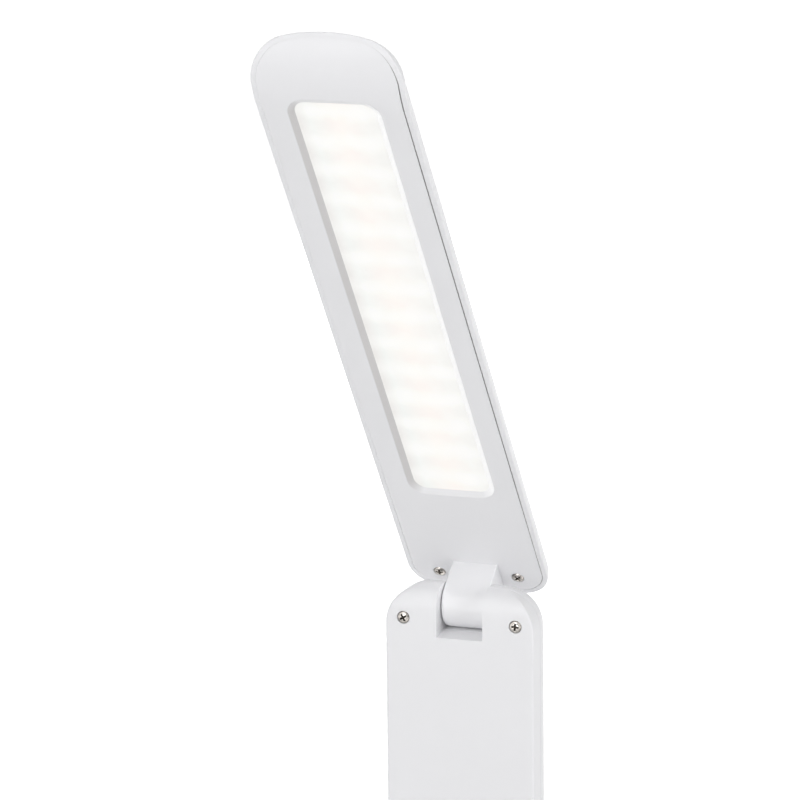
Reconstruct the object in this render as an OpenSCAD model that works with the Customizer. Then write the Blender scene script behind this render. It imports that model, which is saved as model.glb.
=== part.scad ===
// Folding LED desk lamp: a weighted base, an upright arm and a flat light head.
// The arm folds down over the base and the head folds flat against the arm.
// Millimetres, +Z up. The lamp faces -Y. The origin is the middle of the face the lamp stands on.

/* [Head] */
// Width of the light head
head_w = 47.5; // [44:0.5:52]
// Distance from the head hinge axis to the far end of the head's outline
head_reach = 238.4; // [236:0.1:243]
// Thickness of the head
head_t = 9.7; // [9.6:0.1:11.5]
// Rounding of the upper edges of the head
head_edge_r = 9.2; // [8:0.1:9.3]
// Corner radius of the head in plan, at the hinge end
head_near_r = 10.8; // [10.4:0.1:13]
// Corner radius of the head in plan, at the tip
head_tip_r = 14.3; // [12.5:0.1:16]
// Radius of the arched end of the tip in plan
tip_arch_r = 40; // [34:1:120]
// Rounding of the upper edge at the middle of the tip
tip_edge_r = 3.5; // [3:0.1:5]
// Length of the tip over which the underside curves up
tip_run = 23.8; // [20:0.1:25]
// Radius of the curve of the underside at the tip
tip_curve_r = 30.2; // [29:0.1:36]
// Width of the upper shell's rim around the bottom cover
head_rim = 1.7; // [1.5:0.1:2.2]
// Width of the ledge inside the upper shell that the bottom cover rests on
head_ledge = 1; // [0.8:0.1:1.4]
// Thickness of the bottom cover
head_cover_t = 1.6; // [1.5:0.1:2]
// Thickness of the upper shell's roof
head_roof_t = 1.8; // [1.5:0.1:2.1]

/* [Light window] */
// Distance from the head hinge axis to the near edge of the window
window_start = 40.5; // [38:0.5:60]
// Length of the window at the face of the cover
window_l = 177; // [120:1:178]
// Width of the window at the face of the cover
window_w = 29; // [22:0.5:30]
// Corner radius of the window
window_r = 6; // [4:0.5:8]
// Width of the bevel around the window
bevel_w = 1.9; // [1:0.1:2.4]
// Depth of the bevel, down to the diffuser
bevel_d = 1.1; // [0.6:0.1:1.2]
// Thickness of the diffuser
diffuser_t = 1.5; // [1:0.1:1.8]
// How far the diffuser reaches under the edge of the window
diffuser_lap = 2.2; // [1.5:0.1:2.4]
// Rows of light emitting diodes
led_rows = 14; // [6:1:14]
// Distance from the near edge of the glowing face to the first row
led_first = 6.3; // [3:0.1:9]
// Distance from the last row to the far edge of the glowing face
led_last = 3.3; // [2:0.1:9]
// Side of one diode package
led_size = 2.8; // [2:0.1:3.5]

/* [Arm] */
// Width of the arm
arm_w = 50; // [47:0.5:56]
// Thickness of the arm
arm_t = 17.5; // [17.5:0.1:20]
// Corner radius of the arm in plan
arm_corner_r = 12.5; // [11:0.1:15]
// Rounding of the back edges of the arm
arm_edge_r = 8.5; // [6:0.1:8.5]
// Depth of the hinge axes behind the front face of the arm
axis_depth = 10.6; // [10.4:0.1:11]
// How far the arm reaches past each hinge axis
arm_end = 7.8; // [7.6:0.1:9]
// Depth of the front cover, which is also the rounding of its ends
front_depth = 7; // [6:0.1:7.4]
// Wall of the arm's shells
arm_wall = 2; // [1.6:0.1:2.2]

/* [Hinges] */
// Width of each knuckle
knuckle_w = 15; // [13:0.1:15.4]
// Radius of each knuckle
knuckle_r = 7; // [6.5:0.1:7.2]
// Clearance at each side of a knuckle in its notch
knuckle_side_gap = 0.45; // [0.3:0.05:0.6]
// Clearance between a knuckle and the floor of its notch
knuckle_floor_gap = 0.9; // [0.6:0.1:1.2]
// Wall around each notch
notch_wall = 1.8; // [1.4:0.1:2]
// Diameter of the hinge pins
pin_d = 5; // [4.6:0.1:5.2]
// Diameter of the bore through the hinge pins
pin_bore = 2.4; // [2.2:0.1:2.8]
// Thickness of the steel hinge brackets
bracket_t = 1.5; // [1:0.1:1.6]
// Thickness of a friction washer
washer_t = 1; // [0.6:0.1:1]
// Height of the disc spring on a hinge pin
spring_h = 0.8; // [0.6:0.1:0.8]
// Thickness of the nut on a hinge pin
nut_t = 2; // [1.6:0.1:2.1]
// Gap between the folded head and the arm
head_fold_gap = 1.5; // [1.2:0.1:2.5]
// Gap between the folded head and the base
base_fold_gap = 2.7; // [1.8:0.1:5]
// Gap between the tip of the folded head and the lower knuckle
tip_fold_gap = 4.6; // [3.6:0.1:20]
// Slope of the head above the horizontal
head_lift = 53.5; // [-60:0.5:80]

/* [Base] */
// Width of the base
base_w = 105; // [98:1:140]
// Length of the base
base_l = 185; // [175:1:230]
// Height of the base without its pad
base_h = 16; // [15.8:0.1:20]
// Corner radius of the base in plan
base_corner_r = 20; // [14:1:26]
// Rounding of the upper edge of the base
base_edge_r = 5; // [3:0.5:6]
// Wall of the base's shell
base_wall = 2.2; // [1.8:0.1:2.4]
// Thickness of the base's bottom plate
plate_t = 2; // [1.8:0.1:2.4]
// Width of the shell's rim around the bottom plate
base_rim = 1.8; // [1.6:0.1:2.4]
// Width of the ledge that the bottom plate rests on
base_ledge = 1.4; // [1:0.1:2]
// Distance from the rear of the base to the arm's lower axis
axis_inset = 24.5; // [22:0.5:30]
// Thickness of the rubber pad
pad_t = 1.8; // [1.4:0.1:2.4]
// Depth of the recess that the pad lies in
pad_recess = 0.8; // [0.4:0.1:0.9]
// Margin between the pad and the edge of the base
pad_margin = 7; // [5:0.5:12]
// Width of the steel ballast
ballast_w = 66; // [50:1:66]
// Thickness of the steel ballast
ballast_t = 6; // [4:0.5:6]

/* [Controls] */
// Diameter of the push buttons
button_d = 13; // [10:0.5:15]
// Distance between the two push buttons
button_pitch = 26; // [20:1:28]
// Distance from the front of the base to the push buttons
button_inset = 28; // [26:1:32]
// Height of the push buttons above the base
button_proud = 0.8; // [0.6:0.1:1.2]
// Travel of the push buttons
button_travel = 0.6; // [0.3:0.1:0.6]
// Clearance around a push button
button_gap = 0.3; // [0.2:0.05:0.5]
// Diameter of the round mouth of the power inlet
inlet_d = 8; // [7:0.1:9]

/* [Screws] */
// Diameter of the cover screws
screw_d = 2; // [1.6:0.1:2.4]
// Diameter of the cover screws' heads
screw_head_d = 4; // [3.6:0.1:4.4]
// Distance of the head's screws from the middle
head_screw_x = 13.3; // [13:0.1:14]
// Distance of the arm's screws from the middle
arm_screw_x = 18.9; // [18.8:0.1:19.2]

/* [Hidden] */
$fn = 48;

// Colours
white = "#f2f2f4";
steel = "#b9bcc0";
milk = "#fffdf6";

// Clearances
seat = 0.02;         // between flat faces that rest on each other
line_gap = 0.2;      // visible parting line between two shells
run_gap = 0.05;      // between parts that turn or slide on each other
over = 1;            // how far a cut reaches past the surface it opens

// Arcs of the moulded forms
hull_fn = 32;
arc_steps = 8;

// Head, measured from its hinge axis, with the underside level and facing down
head_under = axis_depth + head_fold_gap;
head_heel = knuckle_r;
tip_start = head_reach - tip_run;
tip_turn = asin((head_w / 2 - head_tip_r) / (tip_arch_r - head_tip_r));
tip_blend = 45;
tip_share = 0.3;
min_edge = 0.4;
roof_z = head_t - head_roof_t;
slot_gap = 0.1;
window_mid = window_start + window_l / 2;
glow_w = window_w - 2 * bevel_w;
glow_l = window_l - 2 * bevel_w;
diffuser_w = glow_w + 2 * diffuser_lap;
diffuser_l = glow_l + 2 * diffuser_lap;
diffuser_top = bevel_d + seat + diffuser_t;
frame_wall = 1.2;
board_t = 1;
board_tail = 6;
board_gap_above = 0.9;
board_z = roof_z - board_gap_above - board_t;
led_h = 0.7;
led_side_x = glow_w * 0.32;
led_pitch = (glow_l - led_first - led_last) / (led_rows - 1);
rib_t = 1.2;
rib_count = 4;

head_lead_s = window_mid - diffuser_l / 2 - 2;
knuckle_plate_t = 3;
knuckle_plate_l = 20;
knuckle_plate_w = 17;
knuckle_plate_z = head_cover_t + 0.3;
knuckle_plate_top = knuckle_plate_z + knuckle_plate_t;
knuckle_web = 1.5;
knuckle_screw_x = 5.5;
knuckle_screw_s = 11.5;
knuckle_screw_l = 4;
neck_clear = 1.2;
neck_back = head_heel - head_rim - head_ledge - neck_clear;

// Screws shared by the head and the arm
screw_head_h = 1.3;
screw_sink = 0.9;
head_clear = 0.3;
shank_clear = 0.2;
boss_wall = 2;
head_screw_s = 1;
head_screw_l = 5.5;
arm_screw_z = -2.65;
arm_screw_l = 12;
cross_w = 0.7;
cross_l = 2.2;
cross_depth = 0.8;

// Arm, measured from its lower hinge axis
arm_l = head_reach + tip_fold_gap + knuckle_r;
arm_front_y = -axis_depth;
arm_back_y = arm_t - axis_depth;
part_y = arm_front_y + front_depth;
notch_w = knuckle_w + 2 * knuckle_side_gap;
notch_floor = knuckle_r + knuckle_floor_gap;
cheek_x = notch_w / 2 + notch_wall;
clip_count = 3;
clip_t = 1;

// Hinge hardware, from the cheek outwards
bracket_x = cheek_x + run_gap;
washer_x = bracket_x + bracket_t + run_gap;
flange_x = washer_x + washer_t + seat;
flange_t = 1;
spring_x = washer_x + washer_t + seat;
nut_x = spring_x + spring_h + seat;
pin_right = flange_x + flange_t;
pin_left = nut_x + nut_t;
flange_r = 4;
washer_r = 4.3;
nut_r = 4;
bracket_r = 4.6;
foot_x = 21;
foot_y = 0.3;
foot_top = -10;
foot_bottom = -24;
foot_screw_x = 16.2;
foot_screw_z = [-13.6, -20.4];
foot_boss_d = 5.4;
m25_d = 2.5;
m25_head_d = 4.4;
m25_head_h = 1.5;
m25_l = 5;
pilot_spare = 0.3;   // how much deeper a pilot hole is than its screw

// Leads
lead_d = 1.6;
lead_sides = 8;
lead_x = pin_right + 1.2;
lead_y = -3;
channel_d = lead_d + 1;

// Base
base_z = pad_t - pad_recess;
base_top = base_z + base_h;
ceiling_z = base_top - base_wall;
plate_z = base_z + plate_t;
axis_y = base_l / 2 - axis_inset;
axis_z = base_top + head_under + head_t + base_fold_gap;
post_inset = 14;
post_d = 8;
m3_d = 3;
m3_head_d = 5.4;
m3_head_h = 1.6;
plate_boss_h = 3;
ballast_z = plate_z + seat;
ballast_top = ballast_z + ballast_t;
ballast_front = 30;
ballast_gap = 0.2;
fence_t = 1.6;
fence_l = 8;
shoe_w = 36;
shoe_l = 27;
shoe_t = 4;
bolt_x = 13;
bolt_y = 9;
m4_d = 4;
m4_head_d = 7;
m4_head_h = 2.2;
m4_l = 8;

// Controls
button_y = -base_l / 2 + button_inset;
pcb_t = 1.6;
pcb_z = plate_z + 2;
pcb_top = pcb_z + pcb_t;
pcb_w = 58;
pcb_l = 24;
pcb_screw_x = 25.5;
pcb_screw_y = 8.5;
m2_d = 2;
m2_head_d = 3.8;
m2_head_h = 1.3;
switch_w = 6;
switch_h = 3.5;
plunger_d = 3.4;
plunger_seat = 1.3;
plunger_top = pcb_top + seat + switch_h + 1;
button_lip = 1.2;
button_lip_t = 1;
stem_d = 4.4;
inlet_x = -26;
inlet_w = 9;
inlet_l = 12;
inlet_h = 8;
inlet_z = plate_z + 0.8 + inlet_h / 2;
inlet_bore = 6;
inlet_pin_d = 2;
cradle_t = 1.4;

// ---------- plan outlines and moulded forms ----------

// Points of a quarter circle from angle a0
function arc(cx, cy, r, a0) =
    [for (i = [0:arc_steps]) let (a = a0 + 90 * i / arc_steps) [cx + r * cos(a), cy + r * sin(a)]];

// Rounded rectangle between y0 and y1, with its own corner radius at each end
module outline(w, y0, y1, r0, r1)
    polygon(concat(
        arc(w / 2 - r1, y1 - r1, r1, 0), arc(-w / 2 + r1, y1 - r1, r1, 90),
        arc(-w / 2 + r0, y0 + r0, r0, 180), arc(w / 2 - r0, y0 + r0, r0, 270)));

// Rounded plate around a middle point
module plate(w, l, r, z0, h)
    translate([0, 0, z0]) linear_extrude(h) outline(w, -l / 2, l / 2, r, r);

module slab_corner(r, h, edge)
    rotate_extrude($fn = hull_fn) polygon(concat([[0, 0], [r, 0]], arc(r - edge, h - edge, edge, 0)));

// Slab from z = 0 to h whose upper edges are rounded all round
module slab(w, y0, y1, r0, r1, h, edge)
    hull() for (side = [-1, 1]) {
        translate([side * (w / 2 - r0), y0 + r0, 0]) slab_corner(r0, h, edge);
        translate([side * (w / 2 - r1), y1 - r1, 0]) slab_corner(r1, h, edge);
    }

// Turns a form that lies in plan upright: its length along Z, its height along +Y
module upright() mirror([0, 1, 0]) rotate([90, 0, 0]) children();

// Extrudes an outline in (y, z) along X
module across(w) rotate([90, 0, 90]) linear_extrude(w, center = true) children();

// Round bar along X from x0 to x1
module bar_x(x0, x1, d) translate([x0, 0, 0]) rotate([0, 90, 0]) cylinder(d = d, h = x1 - x0);

// ---------- screws ----------

// Pan head screw whose head rests on z = 0 and whose shank points down
module pan_screw(d, head_d, head_h, l) difference() {
    union() {
        translate([0, 0, -l]) cylinder(d = d, h = l);
        rotate_extrude() polygon([[0, 0], [head_d / 2, 0], [head_d / 2, head_h * 0.45],
            [head_d * 0.38, head_h * 0.85], [head_d * 0.2, head_h], [0, head_h]]);
    }
    for (turn = [0, 90]) rotate([0, 0, turn])
        translate([-cross_l / 2, -cross_w / 2, head_h - cross_depth]) cube([cross_l, cross_w, head_h]);
}

// Counterbore, clearance hole and pilot hole for a pan head screw on z = 0
module screw_seat(d, head_d, depth) cylinder(d = head_d + 2 * head_clear, h = depth);
module screw_hole(d, l)
    translate([0, 0, -l]) cylinder(d = d + 2 * shank_clear, h = l + over);
module pilot_hole(d, l)
    translate([0, 0, -l]) cylinder(d = d + 2 * seat, h = l + over);

// ---------- leads ----------

function unit(v) = v / norm(v);
function along(path, i) =
    unit(path[min(i + 1, len(path) - 1)] - path[max(i - 1, 0)]);
// Frame of each ring, carried along the path
function side_of(path, i) = i == 0 ? first_side(along(path, 0))
    : let (s = side_of(path, i - 1), t = along(path, i)) unit(s - (s * t) * t);
function first_side(t) = unit(cross(t, abs(t[1]) < 0.9 ? [0, 1, 0] : [1, 0, 0]));
// Points on a smooth curve through the path (Catmull-Rom)
function curve(p, n) = concat([for (i = [0:len(p) - 2], j = [0:n - 1])
    let (t = j / n, a = p[max(i - 1, 0)], b = p[i], c = p[i + 1], d = p[min(i + 2, len(p) - 1)])
    0.5 * (2 * b + (c - a) * t + (2 * a - 5 * b + 4 * c - d) * t * t + (3 * b - a - 3 * c + d) * t * t * t)],
    [p[len(p) - 1]]);
// Lead of round section along a path
module lead(path, d) {
    sides = [for (i = [0:len(path) - 1]) side_of(path, i)];
    points = [for (i = [0:len(path) - 1]) let (t = along(path, i), s = sides[i], u = cross(t, s))
        for (k = [0:lead_sides - 1]) let (a = 360 * k / lead_sides)
            path[i] + (cos(a) * s + sin(a) * u) * d / 2];
    last = len(path) - 1;
    polyhedron(points = points, faces = concat(
        [[for (k = [lead_sides - 1:-1:0]) k]],
        [for (i = [0:last - 1], k = [0:lead_sides - 1]) let (a = i * lead_sides, n = (k + 1) % lead_sides)
            [a + k, a + n, a + lead_sides + n, a + lead_sides + k]],
        [[for (k = [0:lead_sides - 1]) last * lead_sides + k]]));
}

// ---------- places ----------

// Arm frame: the origin is the lower hinge axis
module on_arm() translate([0, axis_y, axis_z]) children();
// End frames: z = 0 is the hinge axis and +z points out of the end of the arm
module at_top() on_arm() translate([0, 0, arm_l]) children();
module at_bottom() on_arm() mirror([0, 0, 1]) children();
// Head axis frame: the head points to -Y and lies level
module at_head_axis() on_arm() translate([0, 0, arm_l]) rotate([-head_lift, 0, 0]) children();
// Head frame: z = 0 is the underside of the head
module on_head() at_head_axis() translate([0, 0, head_under]) children();
// Base axis frame: the knuckle's post hangs down from the axis
module at_base_axis() translate([0, axis_y, axis_z]) mirror([0, 0, 1]) children();

// ---------- hinge ----------

// One steel bracket with its foot, on the +x side
module hinge_bracket() difference() {
    union() {
        bar_x(bracket_x, bracket_x + bracket_t, 2 * bracket_r);
        translate([bracket_x, -bracket_r, foot_bottom])
            cube([bracket_t, bracket_r + foot_y + bracket_t, -foot_bottom]);
        translate([bracket_x, foot_y, foot_bottom])
            cube([foot_x - bracket_x, bracket_t, foot_top - foot_bottom]);
    }
    bar_x(bracket_x - over, bracket_x + bracket_t + over, pin_d + 2 * run_gap);
    for (z = foot_screw_z) translate([foot_screw_x, foot_y + bracket_t + over, z])
        rotate([90, 0, 0]) cylinder(d = m25_d + 2 * shank_clear, h = bracket_t + 2 * over);
}
module both_sides() for (side = [0, 1]) mirror([side, 0, 0]) children();
module bracket_screws() both_sides() for (z = foot_screw_z)
    translate([foot_screw_x, foot_y - seat, z]) rotate([90, 0, 0])
        pan_screw(m25_d, m25_head_d, m25_head_h, m25_l);

// Hollow pin with a flange on the right, opened towards the knuckle's post
module hinge_pin() difference() {
    union() {
        bar_x(-pin_left, pin_right, pin_d);
        bar_x(flange_x, pin_right, 2 * flange_r);
    }
    bar_x(-pin_left - over, pin_right + over, pin_bore);
    cylinder(d = channel_d, h = pin_d);
}
module friction_washers() both_sides() difference() {
    bar_x(washer_x, washer_x + washer_t, 2 * washer_r);
    bar_x(washer_x - over, washer_x + washer_t + over, pin_d + 2 * seat);
}
module disc_spring() mirror([1, 0, 0]) translate([spring_x, 0, 0]) rotate([0, 90, 0])
    rotate_extrude() polygon([[pin_d / 2 + seat, spring_h / 2], [washer_r - 0.2, 0],
        [washer_r - 0.2, spring_h / 2], [pin_d / 2 + seat, spring_h]]);
module hinge_nut() mirror([1, 0, 0]) difference() {
    translate([nut_x, 0, 0]) rotate([0, 90, 0]) cylinder(r = nut_r, h = nut_t, $fn = 6);
    bar_x(nut_x - over, nut_x + nut_t + over, pin_d + 2 * seat);
}
// Round knuckle with a post that rises to the given height
module knuckle_form(h) {
    bar_x(-knuckle_w / 2, knuckle_w / 2, 2 * knuckle_r);
    translate([-knuckle_w / 2, -knuckle_r, 0]) cube([knuckle_w, 2 * knuckle_r, h]);
}
module knuckle_bores(h) {
    bar_x(-knuckle_w / 2 - over, knuckle_w / 2 + over, pin_d + 2 * seat);
    cylinder(d = channel_d, h = h);
}

// ---------- head ----------

// Everything above the curve that lies d above the underside
module above(d) {
    r = tip_curve_r - d;
    end = acos((tip_curve_r - head_t - over) / r);
    across(head_w + 2 * over) polygon(concat(
        [[head_heel + over, d]],
        [for (i = [0:arc_steps + 4]) let (a = end * i / (arc_steps + 4))
            [-tip_start - r * sin(a), tip_curve_r - r * cos(a)]],
        [[head_heel + over, head_t + over]]));
}
// Form of the head, drawn in by the given amounts at the sides and from above. Its tip is arched in plan
module head_slab(inset, drop) hull() {
    less = max(inset, drop);
    arch = tip_arch_r - head_tip_r;
    for (side = [-1, 1]) {
        translate([side * (head_w / 2 - head_near_r), head_heel - head_near_r, 0])
            slab_corner(head_near_r - inset, head_t - drop, head_edge_r - less);
        translate([side * (head_w / 2 - head_tip_r), tip_blend - head_reach, 0])
            slab_corner(head_tip_r - inset, head_t - drop, head_edge_r - less);
    }
    for (k = [-1, -0.5, 0, 0.5, 1])
        translate([arch * sin(k * tip_turn), tip_arch_r - head_reach - arch * cos(k * tip_turn), 0])
            slab_corner(head_tip_r - inset, head_t - drop, max(min_edge,
                tip_edge_r + (abs(k) == 1 ? (head_edge_r - tip_edge_r) * tip_share : 0) - less));
}
module head_pocket(gap) difference() {
    translate([0, 0, -over]) head_slab(head_rim + gap, head_rim + gap - over);
    above(head_cover_t + (gap > 0 ? 0 : seat));
}
module head_cavity() intersection() {
    inset = head_rim + head_ledge;
    translate([0, 0, -over]) head_slab(inset, head_roof_t - over);
    above(head_cover_t - seat);
}
// Post for a screw, from height z0 up into the roof
module head_boss(x, s, d, z0)
    translate([x, -s, z0]) cylinder(d = d + 2 * boss_wall, h = head_t - head_roof_t / 2 - z0);

module head_shell() color(white) on_head() difference() {
    union() {
        difference() {
            intersection() { head_slab(0, 0); above(0); }
            head_pocket(0);
            head_cavity();
        }
        for (side = [-1, 1]) {
            head_boss(side * head_screw_x, head_screw_s, screw_d, head_cover_t + seat);
            head_boss(side * knuckle_screw_x, knuckle_screw_s, m2_d, knuckle_plate_top + seat);
        }
        for (i = [0:rib_count - 1])
            translate([-diffuser_w / 2, -window_start - window_l * (i + 0.5) / rib_count,
                board_z + board_t + seat])
                cube([diffuser_w, rib_t, board_gap_above + head_roof_t / 2]);
    }
    for (side = [-1, 1]) {
        translate([side * head_screw_x, -head_screw_s, head_cover_t]) rotate([180, 0, 0])
            pilot_hole(screw_d, head_screw_l);
        translate([side * knuckle_screw_x, -knuckle_screw_s, knuckle_plate_top])
            rotate([180, 0, 0]) pilot_hole(m2_d, knuckle_screw_l - knuckle_web);
    }
}
module head_cover() color(white) on_head() difference() {
    intersection() { head_pocket(line_gap); above(0); }
    hull() {
        translate([0, -window_mid, 0])
            plate(window_w + 2 * bevel_w / bevel_d, window_l + 2 * bevel_w / bevel_d,
            window_r, -over, 0.01);
        translate([0, -window_mid, 0]) plate(glow_w, glow_l, window_r - bevel_w / 2, bevel_d, 0.01);
    }
    translate([0, -window_mid, 0])
        plate(glow_w, glow_l, window_r - bevel_w / 2, -over, head_cover_t + 2 * over);
    translate([0, -window_mid, 0])
        plate(diffuser_w + 2 * slot_gap, diffuser_l + 2 * slot_gap, window_r, bevel_d, head_cover_t + over);
    translate([-knuckle_w / 2 - slot_gap, -knuckle_r - slot_gap, -over])
        cube([knuckle_w + 2 * slot_gap, 3 * knuckle_r, head_cover_t + 2 * over]);
    for (side = [-1, 1]) translate([side * head_screw_x, -head_screw_s, 0]) rotate([180, 0, 0]) {
        translate([0, 0, -screw_sink]) screw_seat(screw_d, screw_head_d, screw_sink + over);
        screw_hole(screw_d, head_cover_t + over);
    }
}
module head_screws() color(steel) on_head() for (side = [-1, 1])
    translate([side * head_screw_x, -head_screw_s, screw_sink - seat]) rotate([180, 0, 0])
        pan_screw(screw_d, screw_head_d, screw_head_h, head_screw_l - screw_sink);
module diffuser() color(milk) on_head() translate([0, -window_mid, 0])
    plate(diffuser_w, diffuser_l, window_r - slot_gap, bevel_d + seat, diffuser_t);
module light_frame() color(white) on_head() translate([0, -window_mid, 0]) difference() {
    plate(diffuser_w, diffuser_l, window_r, diffuser_top + seat, board_z - diffuser_top - 2 * seat);
    plate(diffuser_w - 2 * frame_wall, diffuser_l - 2 * frame_wall, window_r - frame_wall, 0, head_t);
}
module led_board() color("#e9ebe6") on_head()
    translate([-diffuser_w / 2, -window_mid - diffuser_l / 2, board_z])
        cube([diffuser_w, diffuser_l + board_tail, board_t]);
function row_s(i) = window_mid - glow_l / 2 + led_first + i * led_pitch;
module led(x, i) translate([x - led_size / 2, -row_s(i) - led_size / 2, board_z - seat - led_h])
    cube([led_size, led_size, led_h]);
module cool_leds() color("white") on_head()
    for (i = [0:led_rows - 1], side = [-1, 1]) led(side * led_side_x, i);
module warm_leds() color("#ffe9b8") on_head() for (i = [0:led_rows - 1]) led(0, i);
module head_knuckle() color(white) at_head_axis() difference() {
    union() {
        knuckle_form(head_under - seat);
        translate([-knuckle_w / 2, -knuckle_r, 0])
            cube([knuckle_w, knuckle_r + neck_back, head_under + knuckle_plate_z + knuckle_plate_t]);
        translate([-knuckle_plate_w / 2, neck_back - knuckle_plate_l, head_under + knuckle_plate_z])
            cube([knuckle_plate_w, knuckle_plate_l, knuckle_plate_t]);
    }
    knuckle_bores(head_under + head_t);
    for (side = [-1, 1])
        translate([side * knuckle_screw_x, -knuckle_screw_s, head_under + knuckle_plate_top - knuckle_web])
            rotate([180, 0, 0]) {
                screw_seat(m2_d, m2_head_d, knuckle_plate_t);
                screw_hole(m2_d, knuckle_plate_t);
            }
}
module knuckle_screws() color(steel) on_head() for (side = [-1, 1])
    translate([side * knuckle_screw_x, -knuckle_screw_s, knuckle_plate_top - knuckle_web - seat])
        rotate([180, 0, 0]) pan_screw(m2_d, m2_head_d, m2_head_h, knuckle_screw_l);
lead_stop = pin_right;
lead_turn = 2.4;
lead_top = roof_z - lead_d / 2 - 0.5;
// Run of a lead out of the hollow pin into the middle of a knuckle
function pin_run() = [[lead_stop - lead_turn / 2, 0], [lead_turn * 2.5, 0], [lead_turn, 0],
    [lead_turn * 0.3, lead_turn * 0.3], [0, lead_turn], [0, lead_turn * 2.5]];
function head_lead_path() = concat(
    [[lead_stop, 0, 0]],
    curve([for (p = pin_run()) [p[0], 0, p[1]]], 3),
    curve([[0, 0, head_under + lead_top * 0.3], [0, 0, head_under + lead_top * 0.67],
        [0, -lead_turn * 0.2, head_under + lead_top * 0.88], [0, -lead_turn * 1.1, head_under + lead_top],
        [0, -lead_turn * 3, head_under + lead_top * 0.98], [0, -lead_turn * 9, head_under + lead_top * 0.88],
        [0, -head_lead_s, head_under + board_z - lead_d / 2 - seat]], 4));
module head_lead() color("silver") at_head_axis() lead(head_lead_path(), lead_d);

// ---------- arm ----------

module both_ends() {
    translate([0, 0, arm_l]) children();
    mirror([0, 0, 1]) children();
}
// Front form: flat, with both ends rounded back to the parting plane
module front_form(inset, back) intersection() {
    translate([0, back, 0]) rotate([90, 0, 0]) linear_extrude(back - arm_front_y)
        outline(arm_w - 2 * inset, inset - arm_end, arm_l + arm_end - inset,
            arm_corner_r - inset, arm_corner_r - inset);
    across(arm_w + 2 * over) polygon(concat(
        [[part_y + over, arm_l + arm_end - inset]],
        arc(part_y, arm_l + arm_end - front_depth, front_depth - inset, 90),
        arc(part_y, front_depth - arm_end, front_depth - inset, 180),
        [[part_y + over, inset - arm_end]]));
}
// Back form: its back edges are rounded all round
module back_form(inset, reach) translate([0, part_y - reach, 0]) upright()
    slab(arm_w - 2 * inset, inset - arm_end, arm_l + arm_end - inset, arm_corner_r - inset,
        arm_corner_r - inset, arm_t - front_depth - inset + reach, arm_edge_r - inset);
// Block around a notch, and the notch that the knuckle turns in
module notch_block() translate([-cheek_x, arm_front_y - over, -notch_floor - notch_wall])
    cube([2 * cheek_x, arm_t + 2 * over, notch_floor + notch_wall + arm_end + over]);
module notch_cut() translate([-notch_w / 2, arm_front_y - over, -notch_floor])
    cube([notch_w, arm_t + 2 * over, notch_floor + arm_end + over]);
// Slots in the cheeks that the hinge pin drops into
module pin_slot() {
    bar_x(-cheek_x - over, cheek_x + over, pin_d + 2 * head_clear);
    translate([-cheek_x - over, part_y - over, -pin_d / 2 - head_clear])
        cube([2 * (cheek_x + over), over - part_y, pin_d + 2 * head_clear]);
}
module arm_boss(x, z, d, y0, y1) translate([x, y1, z]) rotate([90, 0, 0]) cylinder(d = d, h = y1 - y0);
module arm_front_cover() color(white) on_arm() difference() {
    union() {
        difference() {
            front_form(0, part_y - line_gap);
            front_form(arm_wall, part_y + over);
        }
        intersection() {
            front_form(0, part_y - line_gap);
            both_ends() notch_block();
        }
        intersection() {
            front_form(0, part_y - seat);
            both_ends() for (side = [-1, 1])
                arm_boss(side * arm_screw_x, arm_screw_z, screw_d + 2 * boss_wall, arm_front_y, part_y);
        }
    }
    both_ends() {
        notch_cut();
        for (side = [-1, 1]) translate([side * arm_screw_x, arm_front_y, arm_screw_z]) rotate([90, 0, 0]) {
            translate([0, 0, -screw_sink]) screw_seat(screw_d, screw_head_d, screw_sink + over);
            screw_hole(screw_d, front_depth + over);
        }
    }
}
module arm_back_shell() color(white) on_arm() difference() {
    union() {
        difference() {
            back_form(0, 0);
            back_form(arm_wall, over);
        }
        intersection() {
            back_form(0, 0);
            both_ends() {
                notch_block();
                for (side = [-1, 1]) {
                    arm_boss(side * arm_screw_x, arm_screw_z, screw_d + 2 * boss_wall, part_y, arm_back_y);
                    for (z = foot_screw_z) arm_boss(side * foot_screw_x, z, foot_boss_d,
                        foot_y + bracket_t + seat, arm_back_y);
                }
            }
        }
        for (i = [1:clip_count], side = [-1, 1])
            translate([lead_x - clip_t / 2 + side * (lead_d / 2 + clip_t / 2 + 0.1), part_y + 0.2,
                arm_l * i / (clip_count + 1)])
                cube([clip_t, arm_back_y - arm_wall / 2 - part_y - 0.2, 4]);
    }
    both_ends() {
        notch_cut();
        pin_slot();
        for (side = [-1, 1]) {
            translate([side * arm_screw_x, part_y, arm_screw_z]) rotate([90, 0, 0])
                pilot_hole(screw_d, arm_screw_l - front_depth);
            for (z = foot_screw_z) translate([side * foot_screw_x, foot_y + bracket_t, z]) rotate([90, 0, 0])
                pilot_hole(m25_d, m25_l - bracket_t + pilot_spare);
        }
    }
}
module arm_screws() for (side = [-1, 1])
    translate([side * arm_screw_x, arm_front_y + screw_sink - seat, arm_screw_z]) rotate([90, 0, 0])
        pan_screw(screw_d, screw_head_d, screw_head_h, arm_screw_l - screw_sink - over);
module arm_upper_screws() color(steel) at_top() arm_screws();
module arm_lower_screws() color(steel) at_bottom() arm_screws();
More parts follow.
